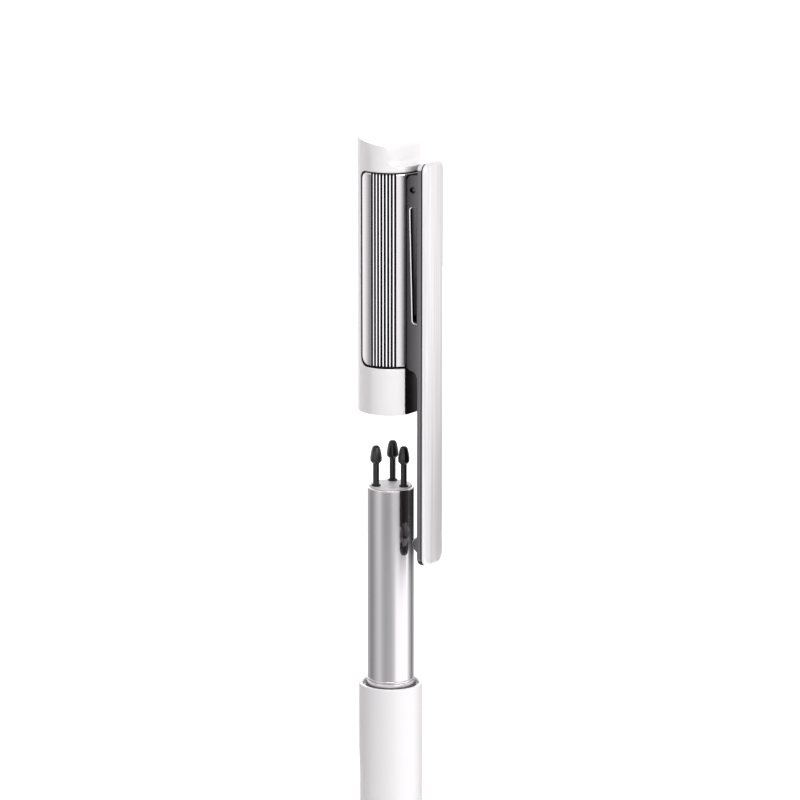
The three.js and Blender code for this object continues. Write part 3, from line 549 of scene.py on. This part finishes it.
inlay_r, inlay_low, inlay_high, inlay_turn = 4.72, 7.25, 35.55, radians(116.2)
seam, side_seam, flare, window_depth = 0.3, 0.45, 0.14, 0.75
inlay_reach = inlay_r * inlay_turn
window_reach = inlay_reach + side_seam
window = panel(window_reach + flare, inlay_low - seam - flare, inlay_high + seam,
               {0: 1.5, 1: 1.5, 2: 1.4, 3: 1.4})
pushed(window, 1)
deeper = [f for f in window.faces if all(v.co.y < 0.01 for v in f.verts)]
moved(window, y=cap_r - inlay_r)
bmesh.ops.inset_region(window, faces=deeper, thickness=flare, depth=flare, use_even_offset=True)
deeper = [f for f in window.faces if f.normal.y < -0.9]
sunk = bmesh.ops.extrude_face_region(window, geom=deeper)
bmesh.ops.delete(window, geom=deeper, context="FACES")
bmesh.ops.translate(window, vec=(0, -window_depth, 0), verts=verts_in(sunk))
wrapped(window, inlay_r)

seat_x, slot_depth = 4.3, 0.9
slot_reach = inlay_r * (acos(seat_x / cap_r) + seam / cap_r)
tongue_slot = pushed(panel(slot_reach, -1, inlay_low + 1), 2)
moved(tongue_slot, y=-slot_depth)
wrapped(tongue_slot, inlay_r)

shell = carved(blank, ("INTERSECT", side), ("DIFFERENCE", bore), ("DIFFERENCE", window),
               ("DIFFERENCE", tongue_slot))
bmesh.ops.remove_doubles(shell, verts=shell.verts, dist=2e-3)
eased(shell, wall_edges(shell, notch_floor - 0.02, cap_top), 0.22, 4, clamp_overlap=True)
eased(shell, wall_edges(shell, -1, 0.01), 0.12, 3)
moved(shell, z=cap_low)
piece("cap_shell_moulding", shell, [cap_white], "cap", ["cap_shell"], sharp=28)


# Cap core. A steel sleeve inside the shell with a polished inlay in the window. Eight
# grooves on each side of the clip are black. A flat tongue runs down
# to the rim under the clip, and a lug above carries the clip's pin.
core_steel = polished_steel("polished_steel_cap_core", "#e2dee1", 0.12)
# Painted shade in the seams: black round the sleeve and the inlay, of which only the dark line
# round the inlay shows.
painted_seam_shade = grained_plastic("black_painted_seam_shade", "#060606", 0.8, 0.1, 0.004, 0.15)
bore_r, sleeve_r, core_foot = 3.6, 4.05, 0.05
groove_r, groove_low, groove_high = 3.85, 2.95, 3.85
sleeve = turned([(bore_r, core_foot), (sleeve_r, core_foot), (sleeve_r, inlay_high),
                 (bore_r, inlay_high), (bore_r, groove_high), (groove_r, groove_high),
                 (groove_r, groove_low), (bore_r, groove_low)], {0: 0.15})
for face in sleeve.faces:
    middle = face.calc_center_median()
    face.material_index = int(middle.x ** 2 + middle.y ** 2 > (sleeve_r - 0.1) ** 2)
moved(sleeve, z=cap_low)
piece("cap_core_sleeve", sleeve, [core_steel, painted_seam_shade], "cap",
      ["cap_core"])


# Vapour-coated steel: dark grey metal, brushed lengthwise under the coat. Painted shade
# darkens it towards the low end of a span along one axis, such as a clip cheek's free edge.
def coated_steel_with_painted_shade(name, color, roughness, shade_share=0.3, along="X", span=(0.0045, 0.0068)):
    material, tree, shader = new_material(name, color, roughness, 1.0)
    place = add_node(tree, "TexCoord").outputs["Object"]
    # Brush marks about 0.17 mm apart
    stretch = add_node(tree, "Mapping", {"Scale": (1, 1, 0.02)}, {"Vector": place})
    brush = add_node(tree, "TexNoise", {"Scale": 6000, "Detail": 3},
                     {"Vector": stretch.outputs["Vector"]})
    bump = add_node(tree, "Bump", {"Strength": 0.5, "Distance": 0.000002},
                    {"Height": brush.outputs["Fac"]})
    shade = add_node(tree, "ValToRGB", {}, {"Fac": brush.outputs["Fac"]})
    shade.color_ramp.elements[0].color = [c * 0.8 for c in linear(color)[:3]] + [1]
    shade.color_ramp.elements[1].color = [min(1, c * 1.15) for c in linear(color)[:3]] + [1]
    away = add_node(tree, "SeparateXYZ", {}, {0: place})
    # Painted shade: the colour is scaled down towards the low end of the span
    painted_shade = add_node(tree, "MapRange", {"From Min": span[0], "From Max": span[1],
                                       "To Min": shade_share, "To Max": 1},
                    {"Value": away.outputs[along]})
    coated = add_node(tree, "VectorMath", {"operation": "SCALE"},
                      {0: shade.outputs["Color"], "Scale": painted_shade.outputs["Result"]})
    tree.links.new(coated.outputs[0], shader.inputs["Base Color"])
    tree.links.new(bump.outputs["Normal"], shader.inputs["Normal"])
    return material


# Black in the grooves: deep black with a low shine.
groove_black = grained_plastic("black_in_grooves", "#050505", 0.7, 0.1, 0.004, 0.15)
# Nearly black polished steel with a mirror's shine for the seat and the tongue under the clip:
# its near-black colour is painted shade.
seat_shade_black = polished_steel("near_black_seat_painted_shade", "#353234", 0.25)
# Between the clip's cheeks the seat is darker towards the bottom and lighter towards the pin:
# painted shade.
seat_painted_shade = coated_steel_with_painted_shade("seat_painted_shade_darker_low", "#656164", 0.2, 0.1, "Z", (0.143, 0.1545))

rib_first, rib_pitch, groove_half, flank = (radians(a) for a in (47.3, 6.1, 1.68, 0.35))
groove_depth, seat_top, seat_shade_half = 0.2, inlay_high - 0.32, 1.75
low_corner, high_corner = 1.35, 1.1
inlay = panel(inlay_reach, inlay_low, inlay_high,
              {0: low_corner, 1: low_corner, 2: high_corner, 3: high_corner})
moved(inlay, y=sleeve_r - inlay_r)
pushed(inlay, inlay_r - sleeve_r)
front = [f for f in inlay.faces if all(v.co.y > -0.01 for v in f.verts)]
eased(inlay, [e for f in front for e in f.edges], 0.13, 3)
middles = [side * (rib_first + i * rib_pitch) for i in range(8) for side in (-1, 1)]
for middle in middles:
    for edge in (-groove_half - flank, -groove_half, groove_half, groove_half + flank):
        split(inlay, ((middle + edge) * inlay_r, 0, 0), (1, 0, 0), 1e-4)
for v in inlay.verts:
    off = min(abs(v.co.x / inlay_r - middle) for middle in middles)
    if off < groove_half + flank / 2 and v.co.y > -0.12:
        v.co.y -= groove_depth
for face in inlay.faces:
    at = face.calc_center_median()
    off = min(abs(at.x / inlay_r - middle) for middle in middles)
    if off < groove_half + flank and at.y < -0.02:
        face.material_index = 1
for z in (seat_top, seat_top + 0.02):
    split(inlay, (0, 0, z), (0, 0, 1), 1e-4)
wrapped(inlay, inlay_r, 0.15)
for v in inlay.verts:
    if sqrt(v.co.x ** 2 + v.co.y ** 2) > sleeve_r + 0.1 and v.co.z < seat_top + 0.01:
        v.co.x = min(v.co.x, seat_x)
inlay.normal_update()
# The seat's faces take the near-black steel, and between the cheeks the steel that darkens low
# down: painted shade
for face in inlay.faces:
    at = face.calc_center_median()
    if face.normal.x > 0.99 and at.x > seat_x - 0.02:
        face.material_index = 3 if abs(at.y) < seat_shade_half else 2
moved(inlay, z=cap_low)
piece("cap_core_inlay", inlay, [core_steel, groove_black, seat_shade_black, seat_painted_shade], "cap",
      sharp=30)

# A black strip in the seam round the inlay: painted shade
seam_shade_rise = 0.63
seam_shade = panel(window_reach, inlay_low - seam, inlay_high + seam,
             {0: low_corner + seam, 1: low_corner + seam,
              2: high_corner + seam, 3: high_corner + seam})
inside = seam_shade.faces[:]
bmesh.ops.inset_region(seam_shade, faces=inside, thickness=seam + 0.02, use_even_offset=True,
                       use_boundary=True)
bmesh.ops.delete(seam_shade, geom=inside, context="FACES")
moved(seam_shade, y=sleeve_r - inlay_r)
pushed(seam_shade, seam_shade_rise)
wrapped(seam_shade, inlay_r, 0.2)
for v in seam_shade.verts:
    if v.co.z < seat_top:
        v.co.x = min(v.co.x, seat_x - 0.03)
moved(seam_shade, z=cap_low)
piece("cap_core_seam_shade_line", seam_shade, [painted_seam_shade], "cap")

tongue_half, tongue_thick = sqrt(cap_r ** 2 - seat_x ** 2) - 0.02, 0.25
tongue = pushed(panel(tongue_half, core_foot, inlay_low), tongue_thick)
rotated(tongue, -pi / 2, "Z")
moved(tongue, x=seat_x - tongue_thick)
edges = [e for e in tongue.edges
         if all(v.co.x > seat_x - 0.01 and v.co.z < inlay_low - 0.01 for v in e.verts)]
eased(tongue, edges, 0.08, 2)
moved(tongue, z=cap_low)
# The tongue's near-black steel is painted shade under the clip
piece("cap_core_tongue", tongue, [seat_shade_black], "cap")

pin_x, pin_z, lug_back, lug_r, lug_half = 5.55, 33.35, 4.2, 0.5, 0.75
lug = outline([(lug_back, pin_z - 2 * lug_r), (pin_x - 0.25, pin_z - 1.5 * lug_r),
               (pin_x + lug_r, pin_z - lug_r), (pin_x + lug_r, pin_z + lug_r),
               (lug_back, pin_z + lug_r)], {2: 0.45, 3: 0.45})
pushed(lug, 2 * lug_half)
moved(lug, y=-lug_half, z=cap_low)
piece("cap_core_lug", lug, [core_steel], "cap")
ring_rubber = grained_plastic("moulded_silicone_grip_ring", "#2a2a2b", 0.75, 0.1, 0.02)
dress(ring_rubber, "grip_ring")


# Clip channel. Steel sheet folded to a bar with two cheeks that straddle the lug. It is
# coated dark grey by vapour. Painted shade darkens its cheeks, its inside and its lower end.
# Bright steel on the slots' edges, the bar's top corner and the rib's sides is painted
# highlight. A rib pressed into the bar near its end touches the barrel when the cap is on.
# Painted shade: the cheeks darken towards their free edges by the cap
clip_steel = coated_steel_with_painted_shade("vapour_coated_clip_steel_painted_shade", "#787477", 0.28)
# Painted highlight: bright steel on the slots' chamfers and on the bar's upward top corner
highlight_steel = polished_steel("bright_steel_painted_highlight", "#e6e2e5", 0.25)
# Painted shade: the bar's inside and the faces between the cheeks are darker, most of all towards
# the cap
clip_inside_shade = coated_steel_with_painted_shade("clip_inside_painted_shade", "#454244", 0.35, 0.6)
# Painted shade: the faces under the clip's lower end are nearly black
clip_end_shade = coated_steel_with_painted_shade("clip_end_painted_shade", "#343133", 0.45, 1)
# Painted highlight: the rib's sloped sides are a lighter steel.
rib_highlight_steel = polished_steel("clip_rib_painted_highlight", "#a5a1a4", 0.32)
clip_half, clip_top, clip_low, clip_corner = 2.5, 37.2, -22.6, 1.1
clip_inner, bar_thick = 6.33, 0.7


def clip_strip(half, low, high, corner, depth):
    """The clip's long strip with rounded corners and a bowed lower end, from X 0 to its depth."""
    bow = low + 0.45
    shape = outline([(-half, bow), (0, low), (half, bow), (half, high), (-half, high)],
                    {0: corner, 1: 1.2, 2: corner, 3: corner, 4: corner})
    pushed(shape, depth)
    rotated(shape, -pi / 2, "Z")
    bmesh.ops.recalc_face_normals(shape, faces=shape.faces)
    return shape


def rim_of(shape, x):
    """The edges of a strip's face at one X."""
    return [e for e in shape.edges if e.calc_face_angle(0) > 1
            and all(abs(v.co.x - x) < 1e-4 for v in e.verts)]


def face_edges(shape, limit):
    """The edges round a pushed shape's two faces that reach below one X."""
    return [e for e in shape.edges if e.calc_face_angle(0) > 1
            and abs((e.verts[0].co - e.verts[1].co).y) < 1e-4
            and min(v.co.x for v in e.verts) < limit]


bar = clip_strip(clip_half, clip_low, clip_top, clip_corner, bar_thick)
eased(bar, rim_of(bar, 0) + rim_of(bar, bar_thick), 0.1, 3)
moved(bar, x=clip_inner)

# The cheeks, a lid between them at the top, and a fillet below each
cheek_x, cheek_low, cheek_high, cheek_wall, fillet = 4.57, 6.8, 35.5, 0.6, 1.75
root = clip_inner + 0.4
channel_parts = []
for y in (-clip_half, clip_half - cheek_wall):
    cheek = outline([(root, cheek_high), (cheek_x, cheek_high), (cheek_x, cheek_low),
                     (clip_inner, cheek_low), (clip_inner, cheek_low - fillet),
                     (root, cheek_low - fillet)], {1: 0.9, 2: 0.7, 3: 1.2})
    pushed(cheek, cheek_wall)
    outer = [e for e in face_edges(cheek, root + 1)
             if all(v.co.x < clip_inner - 0.01 or v.co.z < cheek_low for v in e.verts)]
    eased(cheek, outer, 0.07, 2)
    moved(cheek, y=y)
    channel_parts.append(("UNION", cheek))
lid_x, lid_low = 5.15, cheek_high - 0.8
lid = outline([(lid_x, lid_low), (root, lid_low), (root, cheek_high), (lid_x, cheek_high)],
              {3: 0.3})
pushed(lid, 2 * clip_half - cheek_wall)
moved(lid, y=-clip_half + cheek_wall / 2, z=-0.02)
channel_parts.append(("UNION", lid))

# A dimple behind the rib, and the rib across the bar
dimple_width = 2.6
dimple = outline([(root, -17.2), (clip_inner, -17.4), (4.8, -19.3), (clip_inner, -21.1),
                  (root, -21.2)], {1: 0.3, 2: 0.25, 3: 0.3})
pushed(dimple, dimple_width)
eased(dimple, face_edges(dimple, clip_inner), 0.2, 3)
moved(dimple, y=-dimple_width / 2)
channel_parts.append(("UNION", dimple))
rib_half = clip_half - 0.05
rib = outline([(root, -17.85), (clip_inner, -17.9), (5.68, -18.3), (5.42, -18.75),
               (5.42, -19.35), (5.72, -19.95), (clip_inner, -20.45), (root, -20.5)])
pushed(rib, 2 * rib_half)
eased(rib, face_edges(rib, clip_inner - 0.05), 0.2, 1)
moved(rib, y=-rib_half)
channel_parts.append(("UNION", rib))

# The slots in both cheeks, and the holes for the pin and the spring's rivet
slot_low, slot_high, slot_back, across = 13.85, 30.75, clip_inner - 0.1, 4
slot = outline([(5.5, slot_low), (slot_back, slot_low), (slot_back, slot_high),
                (5.05, slot_high)], {0: 0.4, 3: 0.4})
pushed(slot, 2 * across)
moved(slot, y=-across)
channel_parts.append(("DIFFERENCE", slot))
pin_hole = ring(0, 0.5, -across, across, {}, 32)
rotated(pin_hole, pi / 2, "X")
moved(pin_hole, pin_x, 0, pin_z)
channel_parts.append(("DIFFERENCE", pin_hole))
rivet_z = 19.5
rivet_hole = ring(0, 0.55, 0, 1.5, {}, 32)
rotated(rivet_hole, pi / 2, "Y")
moved(rivet_hole, clip_inner - 1, 0, rivet_z)
channel_parts.append(("DIFFERENCE", rivet_hole))
channel = carved(bar, *channel_parts)

edges = []
for e in channel.edges:
    ends = [v.co for v in e.verts]
    on_slot = all(slot_low - 0.05 < p.z < slot_high + 0.05 and 5.0 < p.x < clip_inner - 0.05
                  and abs(abs(p.y) - clip_half) < 0.01 for p in ends)
    if on_slot and e.calc_face_angle(0) > 1:
        edges.append(e)
# The slots' chamfers take the bright steel: painted highlight
eased(channel, edges, 0.09, 1, material=1)
channel.normal_update()
# By face: 1 is painted highlight on the bar's upward top corner, 3 painted highlight on the rib's
# sides, 4 painted shade under the lower end and 2 painted shade inside
for face in channel.faces:
    at, out = face.calc_center_median(), face.normal
    on_rib = at.z < -17 and at.x < clip_inner - 0.05 and abs(at.y) > clip_half - 0.5
    within = abs(at.y) < clip_half - cheek_wall + 0.02 and at.x < clip_inner + 0.02
    if out.z > 0.25 and at.z > clip_top - clip_corner and at.x > clip_inner:
        face.material_index = 1
    elif on_rib and 0.3 < abs(out.y) < 0.9:
        face.material_index = 3
    elif out.z < -0.3 and at.z < clip_low + clip_corner:
        face.material_index = 4
    elif (out.x < -0.9 and at.x > clip_inner - 0.02) or (within and at.z > cheek_low):
        face.material_index = 2
moved(channel, z=cap_low)
piece("clip_channel_folded", channel,
      [clip_steel, highlight_steel, clip_inside_shade, rib_highlight_steel, clip_end_shade], "clip",
      ["clip_channel"], sharp=28)


# Clip plate. A steel strip glued to the bar, lacquered satin white over its brushed face,
# with the lacquer ground off its chamfered edge.

# Satin white lacquer over brushed steel: faint streaks along the clip, about 0.4 mm apart.
plate_white, tree, shader = new_material("satin_lacquered_clip_plate", "#efecee", 0.3, 0.55)
place = add_node(tree, "TexCoord").outputs["Object"]
stretch = add_node(tree, "Mapping", {"Scale": (1, 1, 0.015)}, {"Vector": place})
streaks = add_node(tree, "TexNoise", {"Scale": 2600, "Detail": 3},
                   {"Vector": stretch.outputs["Vector"]})
streak_color = add_node(tree, "ValToRGB", {}, {"Fac": streaks.outputs["Fac"]})
streak_color.color_ramp.elements[0].position = 0.3
streak_color.color_ramp.elements[0].color = linear("#e2dee1")
streak_color.color_ramp.elements[1].position = 0.7
streak_color.color_ramp.elements[1].color = linear("#f3f0f2")
bump = add_node(tree, "Bump", {"Strength": 0.3, "Distance": 0.000004},
                {"Height": streaks.outputs["Fac"]})
tree.links.new(streak_color.outputs["Color"], shader.inputs["Base Color"])
tree.links.new(bump.outputs["Normal"], shader.inputs["Normal"])
plate_edge = polished_steel("ground_plate_edge", "#a19da0", 0.3)

# A black strip between the bar and the plate: painted shade in their seam
seam_shade_thick, seam_shade_inset = 0.17, 0.01
seam_shade_strip = clip_strip(clip_half - seam_shade_inset, clip_low + seam_shade_inset, clip_top - seam_shade_inset,
                        clip_corner - seam_shade_inset, seam_shade_thick)
moved(seam_shade_strip, x=clip_inner + bar_thick, z=cap_low)
piece("clip_seam_shade_line", seam_shade_strip, [painted_seam_shade], "clip")

plate_thick, chamfer_width, chamfer_rise, plate_crown = 0.18, 0.42, 0.28, 0.2
plate = clip_strip(clip_half, clip_low, clip_top, clip_corner, plate_thick)
front = [f for f in plate.faces if f.normal.x > 0.9]
bmesh.ops.inset_region(plate, faces=front, thickness=chamfer_width, depth=chamfer_rise,
                       use_even_offset=True)
eased(plate, rim_of(plate, 0), 0.04, 1, material=1)
crest = plate_thick + chamfer_rise
ridge = [e for e in plate.edges if len(e.link_faces) == 2
         and all(abs(v.co.x - crest) < 1e-4 for v in e.verts)]
eased(plate, ridge, 0.06, 2)
# Its face is crowned: highest along the middle
for i in range(1, 16):
    split(plate, (0, clip_half * (i / 8 - 1), 0), (0, 1, 0))
for v in plate.verts:
    if v.co.x > plate_thick + 0.01:
        v.co.x -= plate_crown * (v.co.y / clip_half) ** 2
bmesh.ops.dissolve_degenerate(plate, dist=3e-4, edges=plate.edges)
moved(plate, x=clip_inner + bar_thick + seam_shade_thick, z=cap_low)
piece("clip_plate_lacquered", plate, [plate_white, plate_edge], "clip",
      ["clip_plate"], sharp=25)


# Clip pin, spring and rivet. A turned steel pin through the cheeks and the lug, and a blued
# leaf spring riveted inside the bar.
# The pin's dark grey is painted shade in its hole; the spring's rivet shares it
pin_shade_steel = polished_steel("turned_steel_pin_painted_shade", "#5b585a", 0.25)
pin_r, pin_half, pin_chamfer = 0.32, 2.25, 0.14
pin = ring(0, pin_r, -pin_half, pin_half, {1: pin_chamfer, 2: pin_chamfer}, 32)
rotated(pin, pi / 2, "X")
moved(pin, pin_x, 0, pin_z + cap_low)
piece("clip_pin_turned", pin, [pin_shade_steel], "cap", ["clip_pin"])
spring_steel = polished_steel("blued_spring_steel", "#5d5a63", 0.3)
dress(spring_steel, "clip_spring")
dress(pin_shade_steel, "spring_rivet")


# Studio. A white floor below the drawn-out nib, a key lamp at the right, weaker lamps above
# and behind, rings of cards that only gloss shows, and the camera of the photograph.
floor_r, floor_z = 12, -0.0513
floor_mesh = bpy.data.meshes.new("floor")
floor_shape = bmesh.new()
bmesh.ops.create_circle(floor_shape, cap_ends=True, segments=64, radius=floor_r)
moved(floor_shape, z=floor_z)
floor_shape.to_mesh(floor_mesh)
floor_shape.free()
floor = bpy.data.objects.new("floor", floor_mesh)
bpy.context.scene.collection.objects.link(floor)

scene = bpy.context.scene
scene.view_settings.view_transform = "Standard"


def seen_directly(tree):
    """1 for rays that see the background straight, in gloss or through glass."""
    path = add_node(tree, "LightPath")
    either = add_node(tree, "Math", {"operation": "MAXIMUM"},
                      {0: path.outputs["Is Camera Ray"], 1: path.outputs["Is Glossy Ray"]})
    return add_node(tree, "Math", {"operation": "MAXIMUM"},
                    {0: either.outputs[0], 1: path.outputs["Is Transmission Ray"]}).outputs[0]


floor_paint, tree, shader = new_material("matt_white_floor", "#d8d8d8", 0.9)
glow = add_node(tree, "Emission", {"Color": (1, 1, 1, 1)})
glow_share = add_node(tree, "Math", {"operation": "MULTIPLY", 1: 0.6}, {0: seen_directly(tree)})
tree.links.new(glow_share.outputs[0], glow.inputs["Strength"])
both = add_node(tree, "AddShader", {}, {0: shader.outputs[0], 1: glow.outputs[0]})
tree.links.new(both.outputs[0], tree.nodes["Material Output"].inputs["Surface"])
floor_mesh.materials.append(floor_paint)

world = bpy.data.worlds.new("studio")
scene.world = world
world.use_nodes = True
tree = world.node_tree
tree.nodes.clear()
direction = add_node(tree, "TexCoord")
height = add_node(tree, "SeparateXYZ", {}, {0: direction.outputs["Generated"]})
# A white ceiling over grey walls lights the pen, in front of a white backdrop
level = add_node(tree, "MapRange", {"From Min": 0.0, "From Max": 0.9, "To Min": 0.34,
                                    "To Max": 0.8}, {"Value": height.outputs["Z"]})
room = add_node(tree, "Background", {"Color": linear("#ffffff")},
                {"Strength": level.outputs["Result"]})
backdrop = add_node(tree, "Background", {"Color": linear("#ffffff"), "Strength": 1})
mixed = add_node(tree, "MixShader", {},
                 {0: seen_directly(tree), 1: room.outputs[0], 2: backdrop.outputs[0]})
add_node(tree, "OutputWorld", {}, {"Surface": mixed.outputs[0]})

camera_turn = 35
card_distance, brightest = 0.25, 3


def cards(name, low, high, levels):
    """Grey and white cards in a ring round the pen that only gloss shows, from {degrees: level}.

    Degrees count from the camera to its right, and a level of 1 is white."""
    shape = bmesh.new()
    bmesh.ops.create_circle(shape, segments=96, radius=card_distance)
    side = bmesh.ops.extrude_edge_only(shape, edges=shape.edges[:])
    bmesh.ops.translate(shape, vec=(0, 0, high - low), verts=verts_in(side))
    moved(shape, z=low)
    mesh = bpy.data.meshes.new(name)
    shape.to_mesh(mesh)
    shape.free()
    made = bpy.data.objects.new(name, mesh)
    scene.collection.objects.link(made)
    made.visible_camera = made.visible_diffuse = made.visible_shadow = False
    material = bpy.data.materials.new(name)
    material.use_nodes = True
    tree = material.node_tree
    tree.nodes.clear()
    place = add_node(tree, "TexCoord").outputs["Object"]
    round_the_pen = add_node(tree, "TexGradient", {"gradient_type": "RADIAL"}, {0: place})
    shade = add_node(tree, "ValToRGB", {}, {"Fac": round_the_pen.outputs["Fac"]})
    # The gradient starts at X and runs anticlockwise, with its seam behind the pen
    first = 90 - camera_turn
    stops = sorted((((angle - first) / 360 + 0.5) % 1, level) for angle, level in levels.items())
    ramp = shade.color_ramp
    ramp.elements.remove(ramp.elements[1])
    ramp.elements[0].position = stops[0][0]
    for position, level in stops:
        stop = ramp.elements[0] if position == stops[0][0] else ramp.elements.new(position)
        stop.color = (level / brightest,) * 3 + (1,)
    shine = add_node(tree, "Emission", {"Strength": brightest}, {"Color": shade.outputs["Color"]})
    add_node(tree, "OutputMaterial", {}, {"Surface": shine.outputs[0]})
    mesh.materials.append(material)


cards("cards_low", -0.034, 0.034, {
    -179: 0.68, -130: 0.5, -115: 0.36, -105: 0.34, -85: 0.54, -70: 0.72, -55: 0.8, -42: 0.6,
    -25: 0.5, 0: 0.6, 15: 0.8, 28: 1.4, 84: 1.6, 100: 0.9, 112: 0.6, 125: 0.25, 150: 0.62})
cards("cards_middle", 0.034, 0.062, {
    -179: 0.68, -130: 0.5, -115: 0.36, -105: 0.34, -85: 0.56, -70: 0.78, -55: 0.82, -42: 0.56,
    -25: 0.42, -5: 0.46, 12: 0.75, 28: 0.75, 38: 0.58, 50: 0.04, 78: 0.04, 85: 1.2, 94: 1.2,
    99: 0.04, 145: 0.02, 158: 0.5})
cards("cards_high", 0.062, 0.15, {
    -179: 1.0, -130: 1.3, -115: 1.3, -100: 1.0, -90: 0.65, -80: 0.3, -74: 0.35, -64: 1.4,
    -40: 1.7, 10: 1.7, 20: 1.2, 33: 1.05, 40: 0.55, 48: 0.1, 58: 0.05, 84: 1.3, 108: 1.2,
    122: 0.8, 135: 0.6, 150: 0.4})


def lamp(name, azimuth, height, distance, size, power):
    """A soft square lamp that faces the pen, its azimuth counted from the camera to its right."""
    light = bpy.data.lights.new(name, "AREA")
    light.shape = "RECTANGLE"
    light.size = light.size_y = size
    light.energy = power
    made = bpy.data.objects.new(name, light)
    scene.collection.objects.link(made)
    turn = radians(camera_turn + azimuth)
    made.location = (distance * sin(turn), -distance * cos(turn), height)
    aim = Vector((0, 0, 0.1)) - made.location
    made.rotation_euler = aim.to_track_quat("-Z", "Y").to_euler()


lamp("key_lamp", 42, 0.25, 0.9, 0.7, 4.2)
lamp("top_lamp", 0, 1.0, 0.1, 0.3, 1.8)
lamp("back_lamp", 185, 0.25, 0.9, 0.7, 2.2)

# The photograph's camera, fitted to the rims of barrel, tube and cap
camera = bpy.data.objects.new("camera", bpy.data.cameras.new("camera"))
scene.collection.objects.link(camera)
scene.camera = camera
turn, lift, away = radians(camera_turn), radians(13.383), 0.65
target = Vector((0, 0, 0.12577))
back = Vector((sin(turn) * cos(lift), -cos(turn) * cos(lift), sin(lift)))
camera.location = target + back * away
camera.rotation_euler = (-back).to_track_quat("-Z", "Y").to_euler()
camera.data.sensor_width = 36
camera.data.lens = 200.573
camera.data.shift_x = 9.187 / 800
camera.data.clip_start, camera.data.clip_end = 0.01, 50
